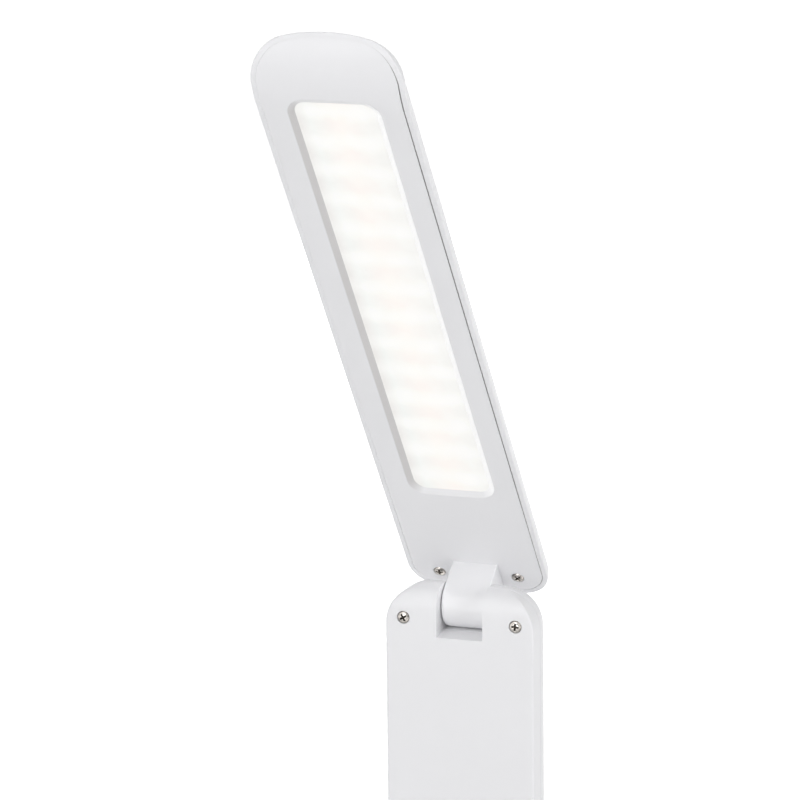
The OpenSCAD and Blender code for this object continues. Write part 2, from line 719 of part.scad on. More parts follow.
// Lead from the end of a hinge pin down into the arm
function lead_bend() = concat([[pin_right + seat, 0, 0]],
    curve([[pin_right + 0.4, 0, 0], [lead_x - 0.1, -0.3, -0.9], [lead_x, -1.2, -3],
        [lead_x, lead_y, -8], [lead_x, lead_y, -16]], 4));
function arm_lead_path() = let (bend = lead_bend()) concat(
    [for (p = bend) [p[0], p[1], arm_l + p[2]]],
    [for (i = [len(bend) - 1:-1:0]) [bend[i][0], bend[i][1], -bend[i][2]]]);
module arm_lead() color("silver") on_arm() lead(arm_lead_path(), lead_d);

// ---------- base ----------

module base_form(inset, z0, z1, edge) translate([0, 0, z0])
    slab(base_w - 2 * inset, inset - base_l / 2, base_l / 2 - inset,
        base_corner_r - inset, base_corner_r - inset, z1 - z0, edge);
module base_plan(inset, z0, h)
    plate(base_w - 2 * inset, base_l - 2 * inset, base_corner_r - inset, z0, h);
module at_posts() for (x = [-1, 1], y = [-1, 1])
    translate([x * (base_w / 2 - post_inset), y * (base_l / 2 - post_inset), 0]) children();
module at_buttons() for (side = [-1, 1]) translate([side * button_pitch / 2, button_y, 0]) children();
module at_pcb_screws() for (x = [-1, 1], y = [-1, 1])
    translate([x * pcb_screw_x, button_y + y * pcb_screw_y, 0]) children();
post_z = plate_z + plate_boss_h;
base_screw_z = post_z - 1.8;
base_screw_l = 8;
module base_shell() color(white) difference() {
    union() {
        difference() {
            base_form(0, base_z, base_top, base_edge_r);
            base_plan(base_rim, base_z - over, plate_t + over + seat);
            base_form(base_rim + base_ledge, base_z - over, ceiling_z, base_edge_r - base_wall);
        }
        at_posts() translate([0, 0, post_z + seat])
            cylinder(d = post_d, h = ceiling_z - post_z + base_wall / 2);
    }
    at_posts() translate([0, 0, base_screw_z]) rotate([180, 0, 0]) pilot_hole(m3_d, base_screw_l);
    at_buttons() translate([0, 0, ceiling_z - over])
        cylinder(d = button_d + 2 * button_gap, h = base_wall + 2 * over);
    translate([-knuckle_w / 2 - slot_gap, axis_y - knuckle_r - slot_gap, ceiling_z - over])
        cube([knuckle_w + 2 * slot_gap, 2 * (knuckle_r + slot_gap), base_wall + 2 * over]);
    translate([inlet_x, base_l / 2 + over, inlet_z]) rotate([90, 0, 0])
        cylinder(d = inlet_d + 2 * shank_clear, h = base_rim + base_ledge + 2 * over);
}
inlet_front = base_l / 2 - base_rim - base_ledge - 0.2;
module base_plate() color(white) difference() {
    union() {
        base_plan(base_rim + line_gap, base_z, plate_t);
        at_posts() translate([0, 0, base_z + pad_recess])
            cylinder(d = post_d + 1, h = post_z - base_z - pad_recess);
        at_pcb_screws() translate([0, 0, plate_z - plate_t / 2])
            cylinder(d = 5, h = pcb_z - plate_z + plate_t / 2 - seat);
        // Fences that keep the ballast in place
        for (x = [-1, 1], y = [ballast_gap - 1, 1])
            translate([x * (ballast_w / 2 + ballast_gap + fence_t / 2) - fence_t / 2,
                y > 0 ? axis_y - shoe_l - fence_l : -ballast_front + fence_l, plate_z - plate_t / 2])
                cube([fence_t, fence_l, ballast_t / 2 + plate_t / 2]);
        for (x = [-1, 1]) translate([x * ballast_w / 4 - fence_l / 2, -ballast_front - ballast_gap - fence_t,
            plate_z - plate_t / 2]) cube([fence_l, fence_t, ballast_t / 2 + plate_t / 2]);
        // Cradle of the power inlet
        translate([inlet_x - inlet_w / 2 - cradle_t - slot_gap, inlet_front - inlet_l - slot_gap - cradle_t,
            plate_z - plate_t / 2])
            difference() {
                cube([inlet_w + 2 * (cradle_t + slot_gap), inlet_l + slot_gap + cradle_t - 1,
                    inlet_z - plate_z + plate_t / 2]);
                translate([cradle_t, cradle_t, inlet_z - inlet_h / 2 - plate_z + plate_t / 2 - seat])
                    cube([inlet_w + 2 * slot_gap, inlet_l + slot_gap + over, inlet_h]);
                translate([cradle_t + inlet_w / 2 + slot_gap - lead_d, -over, inlet_h / 2])
                    cube([2 * lead_d, cradle_t + 2 * over, inlet_h]);
            }
    }
    base_plan(pad_margin - slot_gap, base_z - over, pad_recess + over);
    at_posts() translate([0, 0, base_screw_z]) rotate([180, 0, 0]) {
        screw_seat(m3_d, m3_head_d, post_z);
        screw_hole(m3_d, post_z);
    }
    at_pcb_screws() translate([0, 0, pcb_z]) pilot_hole(m2_d, 1.6);
}
module rubber_pad() color("#e6e6e8") base_plan(pad_margin, 0, pad_t - seat);
module base_screws() color(steel) at_posts() translate([0, 0, base_screw_z - seat]) rotate([180, 0, 0])
    pan_screw(m3_d, m3_head_d, m3_head_h, base_screw_l - over);
module ballast_plate() color("#6d7176") difference() {
    union() {
        translate([-ballast_w / 2, -ballast_front, ballast_z])
            cube([ballast_w, ballast_front + axis_y - shoe_l / 4, ballast_t]);
        translate([-shoe_w / 2, 0, ballast_z]) cube([shoe_w, axis_y + shoe_l / 2, ballast_t]);
    }
    at_bolts() translate([0, 0, ballast_top]) pilot_hole(m4_d, ballast_t + over);
}
module at_bolts() for (x = [-1, 1], y = [-1, 1]) translate([x * bolt_x, axis_y + y * bolt_y, 0]) children();
shoe_z = ballast_top + seat;
bolt_z = shoe_z + shoe_t - m4_head_h - 0.2;
module base_knuckle() color(white) difference() {
    union() {
        at_base_axis() knuckle_form(axis_z - shoe_z);
        translate([-shoe_w / 2, axis_y - shoe_l / 2, shoe_z]) cube([shoe_w, shoe_l, shoe_t]);
    }
    at_base_axis() knuckle_bores(axis_z - shoe_z - lead_d);
    translate([-channel_d / 2, axis_y - shoe_l / 2 - over, shoe_z - over])
        cube([channel_d, shoe_l / 2 + over + channel_d / 2, shoe_t]);
    at_bolts() translate([0, 0, bolt_z]) {
        screw_seat(m4_d, m4_head_d, shoe_t);
        screw_hole(m4_d, shoe_t);
    }
}
module knuckle_bolts() color(steel) at_bolts() translate([0, 0, bolt_z + seat])
    pan_screw(m4_d, m4_head_d, m4_head_h, m4_l - over);
function base_lead_path() = concat(
    [[lead_stop, axis_y, axis_z]],
    curve([for (p = pin_run()) [p[0], axis_y, axis_z - p[1]]], 3),
    curve([[0, axis_y, shoe_z + 8], [0, axis_y - 0.2, shoe_z + 3.2],
        [0, axis_y - 2.4, shoe_z + lead_d / 2 + 0.2],
        [0, axis_y - 8, shoe_z + lead_d / 2], [0, axis_y - shoe_l, shoe_z + lead_d / 2]], 4),
    curve([[0, -ballast_front + 12, shoe_z + lead_d / 2], [0, -ballast_front, shoe_z + lead_d / 2],
        [0, button_y + pcb_l / 2 + 4, pcb_top + 2],
        [0, button_y + pcb_l / 2 - 2, pcb_top + 3 * seat + lead_d / 2],
        [0, button_y + pcb_l / 2 - 6, pcb_top + seat + lead_d / 2]], 4));
module base_lead() color("silver") lead(base_lead_path(), lead_d);

// ---------- controls ----------

module control_board() color("#3d6b4f") difference() {
    translate([-pcb_w / 2, button_y - pcb_l / 2, pcb_z]) cube([pcb_w, pcb_l, pcb_t]);
    at_pcb_screws() translate([0, 0, pcb_top]) screw_hole(m2_d, pcb_t + over);
}
module board_screws() color(steel) at_pcb_screws() translate([0, 0, pcb_top + seat])
    pan_screw(m2_d, m2_head_d, m2_head_h, 3);
plug_w = 6;
plug_h = 4;
plug_x = -21;
chip_w = 7;
chip_h = 1.2;
chip_y = -4.5;
capacitor_d = 5;
capacitor_h = 6;
module board_components() color("#2b2b2e") translate([0, button_y, pcb_top + seat]) {
    translate([-chip_w / 2, chip_y - chip_w / 2, 0]) cube([chip_w, chip_w, chip_h]);
    translate([plug_x - plug_w / 2, -plug_w / 2, 0]) cube([plug_w, plug_w, plug_h]);
    translate([-plug_x, 0, 0]) cylinder(d = capacitor_d, h = capacitor_h);
}
module tact_switch() difference() {
    translate([-switch_w / 2, -switch_w / 2, pcb_top + seat]) cube([switch_w, switch_w, switch_h]);
    translate([0, 0, pcb_top + plunger_seat - button_travel - 0.1])
        cylinder(d = plunger_d + 2 * run_gap, h = switch_h + over);
}
module plunger() translate([0, 0, pcb_top + plunger_seat])
    cylinder(d = plunger_d, h = plunger_top - pcb_top - plunger_seat);
module push_button() {
    lip_z = ceiling_z - run_gap - button_lip_t;
    crown = base_top + button_proud;
    rotate_extrude() polygon(concat([[0, lip_z], [button_d / 2 + button_lip, lip_z],
        [button_d / 2 + button_lip, lip_z + button_lip_t], [button_d / 2, lip_z + button_lip_t]],
        arc(button_d / 2 - 0.5, crown - 0.5, 0.5, 0), [[0, crown]]));
    translate([0, 0, plunger_top + seat]) cylinder(d = stem_d, h = lip_z - plunger_top);
}
module at_power() translate([-button_pitch / 2, button_y, 0]) children();
module at_tone() translate([button_pitch / 2, button_y, 0]) children();
module power_switch() color("#2b2b2e") at_power() tact_switch();
module tone_switch() color("#2b2b2e") at_tone() tact_switch();
module power_plunger() color("#2b2b2e") at_power() plunger();
module tone_plunger() color("#2b2b2e") at_tone() plunger();
module power_button() color("#e4e4e8") at_power() push_button();
module tone_button() color("#e4e4e8") at_tone() push_button();
module power_inlet() color("#2b2b2e") translate([inlet_x, inlet_front, inlet_z]) {
    nose = base_l / 2 - inlet_front - 0.4;
    bore = nose + inlet_l - 4;
    difference() {
        union() {
            translate([-inlet_w / 2, -inlet_l, -inlet_h / 2]) cube([inlet_w, inlet_l, inlet_h]);
            translate([0, nose, 0]) rotate([90, 0, 0]) cylinder(d = inlet_d, h = nose + over);
        }
        translate([0, nose + over, 0]) rotate([90, 0, 0]) cylinder(d = inlet_bore, h = bore + over);
    }
    translate([0, nose - 1, 0]) rotate([90, 0, 0]) cylinder(d = inlet_pin_d, h = bore);
}
function inlet_lead_path() = let (y = inlet_front - inlet_l - seat, z = shoe_z + lead_d / 2)
    concat([[inlet_x, y, inlet_z]],
        curve([[inlet_x, y - 2, inlet_z], [inlet_x, y - 8, z], [inlet_x, y - 16, z]], 4),
    curve([[inlet_x, -ballast_front + 12, z], [inlet_x, -ballast_front, z],
        [plug_x, button_y + 12, pcb_top + plug_h / 2 + 0.2],
        [plug_x, button_y + plug_w / 2 + 4, pcb_top + plug_h / 2],
        [plug_x, button_y + plug_w / 2 + seat, pcb_top + plug_h / 2]], 4));
module inlet_lead() color("silver") lead(inlet_lead_path(), lead_d);

// ---------- hinge hardware at both axes ----------

module base_hinge_pin() color(steel) at_base_axis() hinge_pin();
module base_friction_washers() color(steel) at_base_axis() friction_washers();
module base_disc_spring() color(steel) at_base_axis() disc_spring();
module base_hinge_nut() color(steel) at_base_axis() hinge_nut();
module base_hinge_brackets() color(steel) at_bottom() both_sides() hinge_bracket();
module base_bracket_screws() color(steel) at_bottom() bracket_screws();
module head_hinge_pin() color(steel) at_head_axis() hinge_pin();
module head_friction_washers() color(steel) at_head_axis() friction_washers();
module head_disc_spring() color(steel) at_head_axis() disc_spring();
module head_hinge_nut() color(steel) at_head_axis() hinge_nut();
module head_hinge_brackets() color(steel) at_top() both_sides() hinge_bracket();
module head_bracket_screws() color(steel) at_top() bracket_screws();

base_shell();
base_plate();
rubber_pad();
base_screws();
ballast_plate();
control_board();
board_components();
board_screws();
power_switch();
tone_switch();
power_button();
power_plunger();
tone_button();
tone_plunger();
power_inlet();
inlet_lead();
base_lead();
base_knuckle();
knuckle_bolts();
base_hinge_pin();
base_friction_washers();
base_disc_spring();
base_hinge_nut();
base_hinge_brackets();
base_bracket_screws();
arm_back_shell();
arm_front_cover();
arm_upper_screws();
arm_lower_screws();
arm_lead();
head_hinge_brackets();
head_bracket_screws();
head_hinge_pin();
head_friction_washers();
head_disc_spring();
head_hinge_nut();
head_knuckle();
knuckle_screws();
head_shell();
head_cover();
head_screws();
diffuser();
light_frame();
led_board();
cool_leds();
warm_leds();
head_lead();
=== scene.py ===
import math
import bpy
import bmesh
from mathutils import Matrix, Vector


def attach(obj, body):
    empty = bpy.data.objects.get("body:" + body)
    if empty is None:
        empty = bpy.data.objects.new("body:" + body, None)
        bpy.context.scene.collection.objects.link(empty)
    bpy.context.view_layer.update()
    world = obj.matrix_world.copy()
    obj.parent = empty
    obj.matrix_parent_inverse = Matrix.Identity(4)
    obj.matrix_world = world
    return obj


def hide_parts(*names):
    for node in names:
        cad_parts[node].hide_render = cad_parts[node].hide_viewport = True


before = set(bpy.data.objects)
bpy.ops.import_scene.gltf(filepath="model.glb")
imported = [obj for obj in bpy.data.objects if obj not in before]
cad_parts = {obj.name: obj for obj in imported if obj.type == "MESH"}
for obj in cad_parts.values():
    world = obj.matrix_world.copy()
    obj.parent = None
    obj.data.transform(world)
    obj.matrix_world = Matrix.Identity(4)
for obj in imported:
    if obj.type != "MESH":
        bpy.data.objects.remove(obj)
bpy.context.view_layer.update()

MM = 0.001

# ---------- sizes, in millimetres, as in the CAD ----------
# Hinges: the lower axis, the run up to the upper one, and the head's underside above it.
ARM_L = 250.0
AXIS_Y, AXIS_Z = 68.0, 41.5
UNDER = 12.1
LIFT = math.radians(53.5)
# Head: the outline, the rising tip, and the rim in which the cover lies.
HEAD_W, HEAD_T, HEAD_EDGE, NEAR_R = 47.5, 9.7, 9.2, 10.8
HEAD_FAR, TIP_CORNER, TIP_ARCH, TIP_EDGE = 238.4, 14.3, 40.0, 3.5
TIP_START, TIP_R = 214.6, 30.2
RIM, LEDGE, ROOF = 1.7, 1.0, 1.8
COVER_T = 1.6
# Window in the cover, the panel behind it and the rows of emitters behind that.
WIN_MID, WIN_L, WIN_W, WIN_R = 129.0, 177.0, 29.0, 6.0
BEVEL_W, BEVEL_D = 1.9, 1.1
PANEL_HALF, PANEL_W, PANEL_R, PANEL_T = 88.8, 29.6, 5.9, 1.5
ROW_FIRST, ROW_PITCH = 48.7, 12.585
# Arm: its outline, the front face, the parting plane and the back, and the notch for a knuckle.
ARM_W, ARM_T, ARM_END, ARM_R, ARM_EDGE = 50.0, 17.5, 7.8, 12.5, 8.5
FRONT_Y, PART_Y, BACK_Y = -10.6, -3.6, 6.9
FRONT_R, FRONT_EDGE = 7.0, 0.7
NOTCH_W, NOTCH_NEAR, NOTCH_FAR, NOTCH_R = 15.6, 7.16, 8.85, 0.5
KNUCKLE_W, KNUCKLE_R, POST_EDGE, DRUM_EDGE = 15.2, 7.0, 0.35, 1.6
ROOM_X, ROOM_Y, ROOM_Z = (9.2, 16.2), (-4.4, 4.3), (-20.0, 4.4)
# Screws that show, and the bores in which their heads are sunk.
SCREW_R, SCREW_SUNK, BORE_R, BORE_DEPTH = 1.97, 0.88, 2.14, 0.9
HEAD_SCREW_X, HEAD_SCREW_Y, HEAD_SCREW_L = 13.3, -1.0, 4.5
ARM_SCREW_X, ARM_SCREW_Z, ARM_SCREW_L = 18.9, -2.65, 10.0
# Base: the shell, the slot for the knuckle's post, the inlet and the two buttons.
BASE_W, BASE_L, BASE_H, BASE_R, BASE_EDGE, BASE_Z = 105.0, 185.0, 16.0, 20.0, 5.0, 1.0
SLOT_X, SLOT_Y, POST_FOOT = 7.6, 7.1, 9.1
INLET_X, INLET_Z, INLET_R = -26.0, 7.8, 4.2
BUTTON_X, BUTTON_Y, WELL_R = 13.0, -64.5, 6.8
STEM_Z, STEM_R, RING_Z, RING_R, RING_T = 8.4, 2.2, 13.75, 7.7, 1.0
CAP_R, CAP_EDGE, CROWN_Z, DISH = 6.5, 0.7, 17.8, 0.18
# A turned profile starts and ends this close to its axis.
AXLE = 0.001

ARM = Matrix.Translation((0, AXIS_Y, AXIS_Z))
TOP = ARM @ Matrix.Translation((0, 0, ARM_L))
BOTTOM = ARM @ Matrix.Diagonal((1, 1, -1, 1))
HEAD_AXIS = TOP @ Matrix.Rotation(-LIFT, 4, "X")
HEAD = HEAD_AXIS @ Matrix.Translation((0, 0, UNDER))


# ---------- mesh making ----------
def scaled(m):
    """A frame in millimetres as an object matrix in metres."""
    m = m.copy()
    m.translation = m.translation * MM
    return m


def build(name, verts, faces, place):
    """An object from points in a frame's millimetres. A mirrored frame goes into the points."""
    mesh = bpy.data.meshes.new(name)
    flip = place.determinant() < 0
    pts = [tuple(place @ Vector(v)) for v in verts] if flip else verts
    mesh.from_pydata([(x * MM, y * MM, z * MM) for x, y, z in pts], [], faces)
    bm = bmesh.new()
    bm.from_mesh(mesh)
    bmesh.ops.remove_doubles(bm, verts=bm.verts, dist=1e-7)
    bmesh.ops.dissolve_degenerate(bm, dist=1e-7, edges=bm.edges)
    bmesh.ops.recalc_face_normals(bm, faces=bm.faces)
    bm.to_mesh(mesh)
    bm.free()
    obj = bpy.data.objects.new(name, mesh)
    bpy.context.scene.collection.objects.link(obj)
    if not flip:
        obj.matrix_world = scaled(place)
    return obj


def baked(obj):
    """Applies the modifiers of a piece to its mesh."""
    bpy.context.view_layer.update()
    got = obj.evaluated_get(bpy.context.evaluated_depsgraph_get())
    mesh = bpy.data.meshes.new_from_object(got)
    old = obj.data
    obj.modifiers.clear()
    obj.data = mesh
    mesh.name = old.name
    bpy.data.meshes.remove(old)


def cut(obj, *tools):
    """Takes the tools out of the piece and removes them."""
    for tool in tools:
        mod = obj.modifiers.new("cut", "BOOLEAN")
        mod.operation = "DIFFERENCE"
        mod.solver = "EXACT"
        mod.object = tool
    baked(obj)
    for tool in tools:
        bpy.data.objects.remove(tool)


WELD_GAP, FLAT_ANGLE = 2e-6, math.radians(0.4)


def soften(obj, width, segments=2, angle=35, weld=False):
    """Small rounded edges wherever two faces meet at more than the angle."""
    if weld:
        mod = obj.modifiers.new("weld", "WELD")
        mod.merge_threshold = WELD_GAP
        mod = obj.modifiers.new("flat", "DECIMATE")
        mod.decimate_type = "DISSOLVE"
        mod.angle_limit = FLAT_ANGLE
    mod = obj.modifiers.new("edge", "BEVEL")
    mod.width = width * MM
    mod.segments = segments
    mod.limit_method = "ANGLE"
    mod.angle_limit = math.radians(angle)
    mod.use_clamp_overlap = True
    mod.miter_outer = "MITER_ARC"
    if not weld:
        baked(obj)


def shade(obj, angle=35):
    """Smooth shading, sharp only where faces meet at more than the angle."""
    bm = bmesh.new()
    bm.from_mesh(obj.data)
    for face in bm.faces:
        face.smooth = True
    for edge in bm.edges:
        edge.smooth = len(edge.link_faces) == 2 and edge.calc_face_angle(0) < math.radians(angle)
    bm.to_mesh(obj.data)
    bm.free()
    mod = obj.modifiers.new("normals", "WEIGHTED_NORMAL")
    mod.keep_sharp = True
    mod.weight = 80


def loft(rings, start=True, end=True, around=False):
    """Verts and faces of rings that all have the same number of points."""
    n = len(rings[0])
    verts = [p for ring in rings for p in ring]
    faces = []
    last = len(rings) if around else len(rings) - 1
    for i in range(last):
        a, b = i * n, (i + 1) % len(rings) * n
        for k in range(n):
            m = (k + 1) % n
            faces.append((a + k, a + m, b + m, b + k))
    if start and not around:
        faces.append(tuple(range(n - 1, -1, -1)))
    if end and not around:
        faces.append(tuple(range((len(rings) - 1) * n, len(rings) * n)))
    return verts, faces


XS = (-0.6, -0.2, 0.2, 0.6)


def arc(out, cx, cy, r, a0, a1, n):
    """Adds points and inward normals along an arc."""
    for i in range(n + 1):
        a = math.radians(a0 + (a1 - a0) * i / n)
        c, s = math.cos(a), math.sin(a)
        out.append((cx + r * c, cy + r * s, -c, -s))


def outline(w, y0, y1, r0, r1, ys, xs=XS, corner=12, corner1=None):
    """Points and inward normals round a rounded rectangle. r0 rounds the end at y0 and r1 the end at y1.
    The long sides are divided at ys and the end at y0 at xs, all given as fractions."""
    h = w / 2
    lo, hi = y0 + r0, y1 - r1
    n = corner1 or corner
    out = []
    arc(out, h - r1, hi, r1, 0, 90, n)
    out.extend((x * (h - r1), y1, 0, -1) for x in reversed(XS))
    arc(out, -h + r1, hi, r1, 90, 180, n)
    out.extend((-h, lo + (hi - lo) * f, 1, 0) for f in reversed(ys))
    arc(out, -h + r0, lo, r0, 180, 270, corner)
    out.extend((x * (h - r0), y0, 0, 1) for x in xs)
    arc(out, h - r0, lo, r0, 270, 360, corner)
    out.extend((h, lo + (hi - lo) * f, -1, 0) for f in ys)
    return out


def inset(line, d):
    return [(x + nx * d, y + ny * d) for x, y, nx, ny in line]


def at_z(points, z):
    return [(x, y, z) for x, y in points]


def bend3(a, c, b, n=3):
    """Points of a rounded corner from a to b round the sharp point c."""
    out = []
    for i in range(n + 1):
        t = i / n
        out.append(tuple((1 - t) ** 2 * p + 2 * t * (1 - t) * q + t * t * r for p, q, r in zip(a, c, b)))
    return out


def turned(columns, first=0):
    """The rings that run across a row of rounded corners."""
    return [list(ring) for ring in list(zip(*columns))[first:]]


def clamped(v):
    return min(max(v, 0), 1)


def mix(a, b, t):
    return tuple(p + (q - p) * t for p, q in zip(a, b))


def box_mesh(name, lo, hi, place):
    xs, ys, zs = zip(lo, hi)
    verts = [(x, y, z) for z in zs for y in ys for x in xs]
    faces = [(0, 2, 3, 1), (4, 5, 7, 6), (0, 1, 5, 4), (2, 6, 7, 3), (0, 4, 6, 2), (1, 3, 7, 5)]
    return build(name, verts, faces, place)


def lathe(name, profile, place, steps=48):
    """Turns (radius, height) points round z. The first and last lie on the axis or close the form."""
    rings = []
    turns = [2 * math.pi * i / steps for i in range(steps)]
    for r, z in profile:
        rings.append([(r * math.cos(a), r * math.sin(a), z) for a in turns])
    return build(name, *loft(rings), place)


def toward(place, origin, axis):
    """A frame at a point whose z runs along the axis."""
    q = Vector((0, 0, 1)).rotation_difference(Vector(axis))
    return place @ Matrix.Translation(origin) @ q.to_matrix().to_4x4()


# ---------- materials ----------
GRAIN_DEPTH, IOR = 0.00002, 1.5


def tree(name):
    """A new material with a plain shader, ready to be fed."""
    mat = bpy.data.materials.new(name)
    mat.use_nodes = True
    nodes = mat.node_tree.nodes
    nodes.clear()
    out = nodes.new("ShaderNodeOutputMaterial")
    bsdf = nodes.new("ShaderNodeBsdfPrincipled")
    mat.node_tree.links.new(bsdf.outputs[0], out.inputs[0])
    coord = nodes.new("ShaderNodeTexCoord")
    return mat, nodes, mat.node_tree.links, bsdf, coord


def noise(nodes, links, coord, scale, detail=3.0, stretch=None):
    tex = nodes.new("ShaderNodeTexNoise")
    tex.inputs["Scale"].default_value = scale
    tex.inputs["Detail"].default_value = detail
    if stretch:
        mapping = nodes.new("ShaderNodeMapping")
        mapping.inputs["Scale"].default_value = stretch
        links.new(coord.outputs["Object"], mapping.inputs[0])
        links.new(mapping.outputs[0], tex.inputs["Vector"])
    else:
        links.new(coord.outputs["Object"], tex.inputs["Vector"])
    return tex


def ranged(nodes, links, source, lo, hi, a=0.3, b=0.7):
    node = nodes.new("ShaderNodeMapRange")
    node.inputs["From Min"].default_value = a
    node.inputs["From Max"].default_value = b
    node.inputs["To Min"].default_value = lo
    node.inputs["To Max"].default_value = hi
    links.new(source, node.inputs["Value"])
    return node.outputs[0]


def ramp(nodes, links, source, stops):
    node = nodes.new("ShaderNodeValToRGB")
    items = node.color_ramp.elements
    while len(items) < len(stops):
        items.new(0.5)
    for item, (pos, color) in zip(items, stops):
        item.position = pos
        item.color = (*color, 1)
    links.new(source, node.inputs[0])
    return node.outputs[0]


def finish(name, low, high, rough=(0.3, 0.4), scale=90.0, grain=2500.0, bump=0.02, metallic=0.0,
           stretch=None):
    """A surface whose colour and roughness drift softly, with a fine moulded or machined grain."""
    mat, nodes, links, bsdf, coord = tree(name)
    tone = noise(nodes, links, coord, scale, 4.0, stretch)
    links.new(ramp(nodes, links, tone.outputs[0], [(0.3, low), (0.7, high)]), bsdf.inputs["Base Color"])
    wear = noise(nodes, links, coord, scale * 3.1, 3.0, stretch)
    links.new(ranged(nodes, links, wear.outputs[0], rough[0], rough[1]), bsdf.inputs["Roughness"])
    fine = noise(nodes, links, coord, grain, 2.0, stretch)
    node = nodes.new("ShaderNodeBump")
    node.inputs["Strength"].default_value = bump
    node.inputs["Distance"].default_value = GRAIN_DEPTH
    links.new(fine.outputs[0], node.inputs["Height"])
    links.new(node.outputs[0], bsdf.inputs["Normal"])
    bsdf.inputs["Metallic"].default_value = metallic
    bsdf.inputs["IOR"].default_value = IOR
    return mat


def maths(nodes, links, op, *values):
    """A sum whose values are numbers or the outputs of other nodes."""
    node = nodes.new("ShaderNodeMath")
    node.operation = op
    for i, v in enumerate(values):
        if isinstance(v, (int, float)):
            node.inputs[i].default_value = v
        else:
            links.new(v, node.inputs[i])
    return node.outputs[0]


WHITE = dict(low=(0.865, 0.865, 0.88), high=(0.87, 0.87, 0.885), rough=(0.3, 0.34), scale=40, bump=0.015)
white = finish("white_abs", **WHITE)
inner = finish("plain_abs", (0.74, 0.74, 0.74), (0.78, 0.78, 0.78), rough=(0.45, 0.55))
button_mat = finish("button_abs", (0.68, 0.68, 0.70), (0.72, 0.72, 0.74), rough=(0.32, 0.4), bump=0.1)
rubber = finish("grey_rubber", (0.50, 0.50, 0.51), (0.56, 0.56, 0.57), rough=(0.75, 0.9),
                grain=1600, bump=0.4)
black = finish("black_plastic", (0.018, 0.018, 0.02), (0.03, 0.03, 0.032), rough=(0.4, 0.55), bump=0.25)
board = finish("green_board", (0.02, 0.12, 0.05), (0.03, 0.17, 0.07), rough=(0.3, 0.4), scale=300)
white_board = finish("white_board", (0.78, 0.78, 0.77), (0.83, 0.83, 0.82), rough=(0.35, 0.45))
steel = finish("zinc_steel", (0.50, 0.50, 0.52), (0.62, 0.62, 0.64), rough=(0.29, 0.4),
               metallic=1.0, stretch=(1, 8, 8), bump=0.1)
ballast = finish("mill_steel", (0.20, 0.20, 0.215), (0.32, 0.32, 0.33), rough=(0.35, 0.6),
                 metallic=1.0, stretch=(1, 12, 1), bump=0.15)
# Dark nickel: the dark tone is the metal's own, and its bright warm blotches are painted glints.
nickel_with_painted_glints = finish("dark_nickel_painted_glints", (0.22, 0.21, 0.195), (0.80, 0.75, 0.70), rough=(0.1, 0.18),
                metallic=1.0, bump=0.04, scale=700)
# Painted shade: near-black for the faces inside a screw's cross recess, where shade falls.
recess = finish("recess_painted_shade", (0.012, 0.01, 0.009), (0.05, 0.045, 0.04), rough=(0.3, 0.4),
                metallic=1.0, scale=700)
sheath = finish("lead_sheath", (0.66, 0.66, 0.66), (0.72, 0.72, 0.72), rough=(0.4, 0.55), bump=0.2)
cool_led = finish("cool_phosphor", (0.80, 0.78, 0.42), (0.86, 0.84, 0.5), rough=(0.3, 0.4), scale=400)
warm_led = finish("warm_phosphor", (0.85, 0.5, 0.16), (0.9, 0.56, 0.2), rough=(0.3, 0.4), scale=400)


def cover_painted_shading_material():
    """White plastic whose slope round the window has painted shade, greyer on the right, and painted
    light, lighter and faintly glowing on the left.
    """
    mat = finish("cover_abs_painted_shading", **WHITE)
    nodes, links = mat.node_tree.nodes, mat.node_tree.links
    bsdf = nodes["Principled BSDF"]
    coord = nodes.new("ShaderNodeTexCoord")
    parts = nodes.new("ShaderNodeSeparateXYZ")
    links.new(coord.outputs["Normal"], parts.inputs[0])
    facing = ranged(nodes, links, parts.outputs["X"], 0, 1, -0.5, 0.5)
    plain = (1.0, 1.0, 1.0)
    # Painted shade and painted light: the slope facing +x is darkened to grey and the slope facing -x is
    # lightened, by the way each faces.
    tint = ramp(nodes, links, facing, [(0.0, (1.14, 1.14, 1.12)), (0.35, plain), (0.65, plain),
                                       (1.0, (0.74, 0.725, 0.71))])
    blend = nodes.new("ShaderNodeMix")
    blend.data_type = "RGBA"
    blend.blend_type = "MULTIPLY"
    blend.inputs["Factor"].default_value = 1.0
    links.new(bsdf.inputs["Base Color"].links[0].from_socket, blend.inputs["A"])
    links.new(tint, blend.inputs["B"])
    links.new(blend.outputs["Result"], bsdf.inputs["Base Color"])
    # Painted light: the slope facing -x glows faintly, though it is no lamp.
    lift = ranged(nodes, links, parts.outputs["X"], 0.11, 0.0, -0.5, -0.15)
    links.new(lift, bsdf.inputs["Emission Strength"])
    return mat


GLOW = 0.728


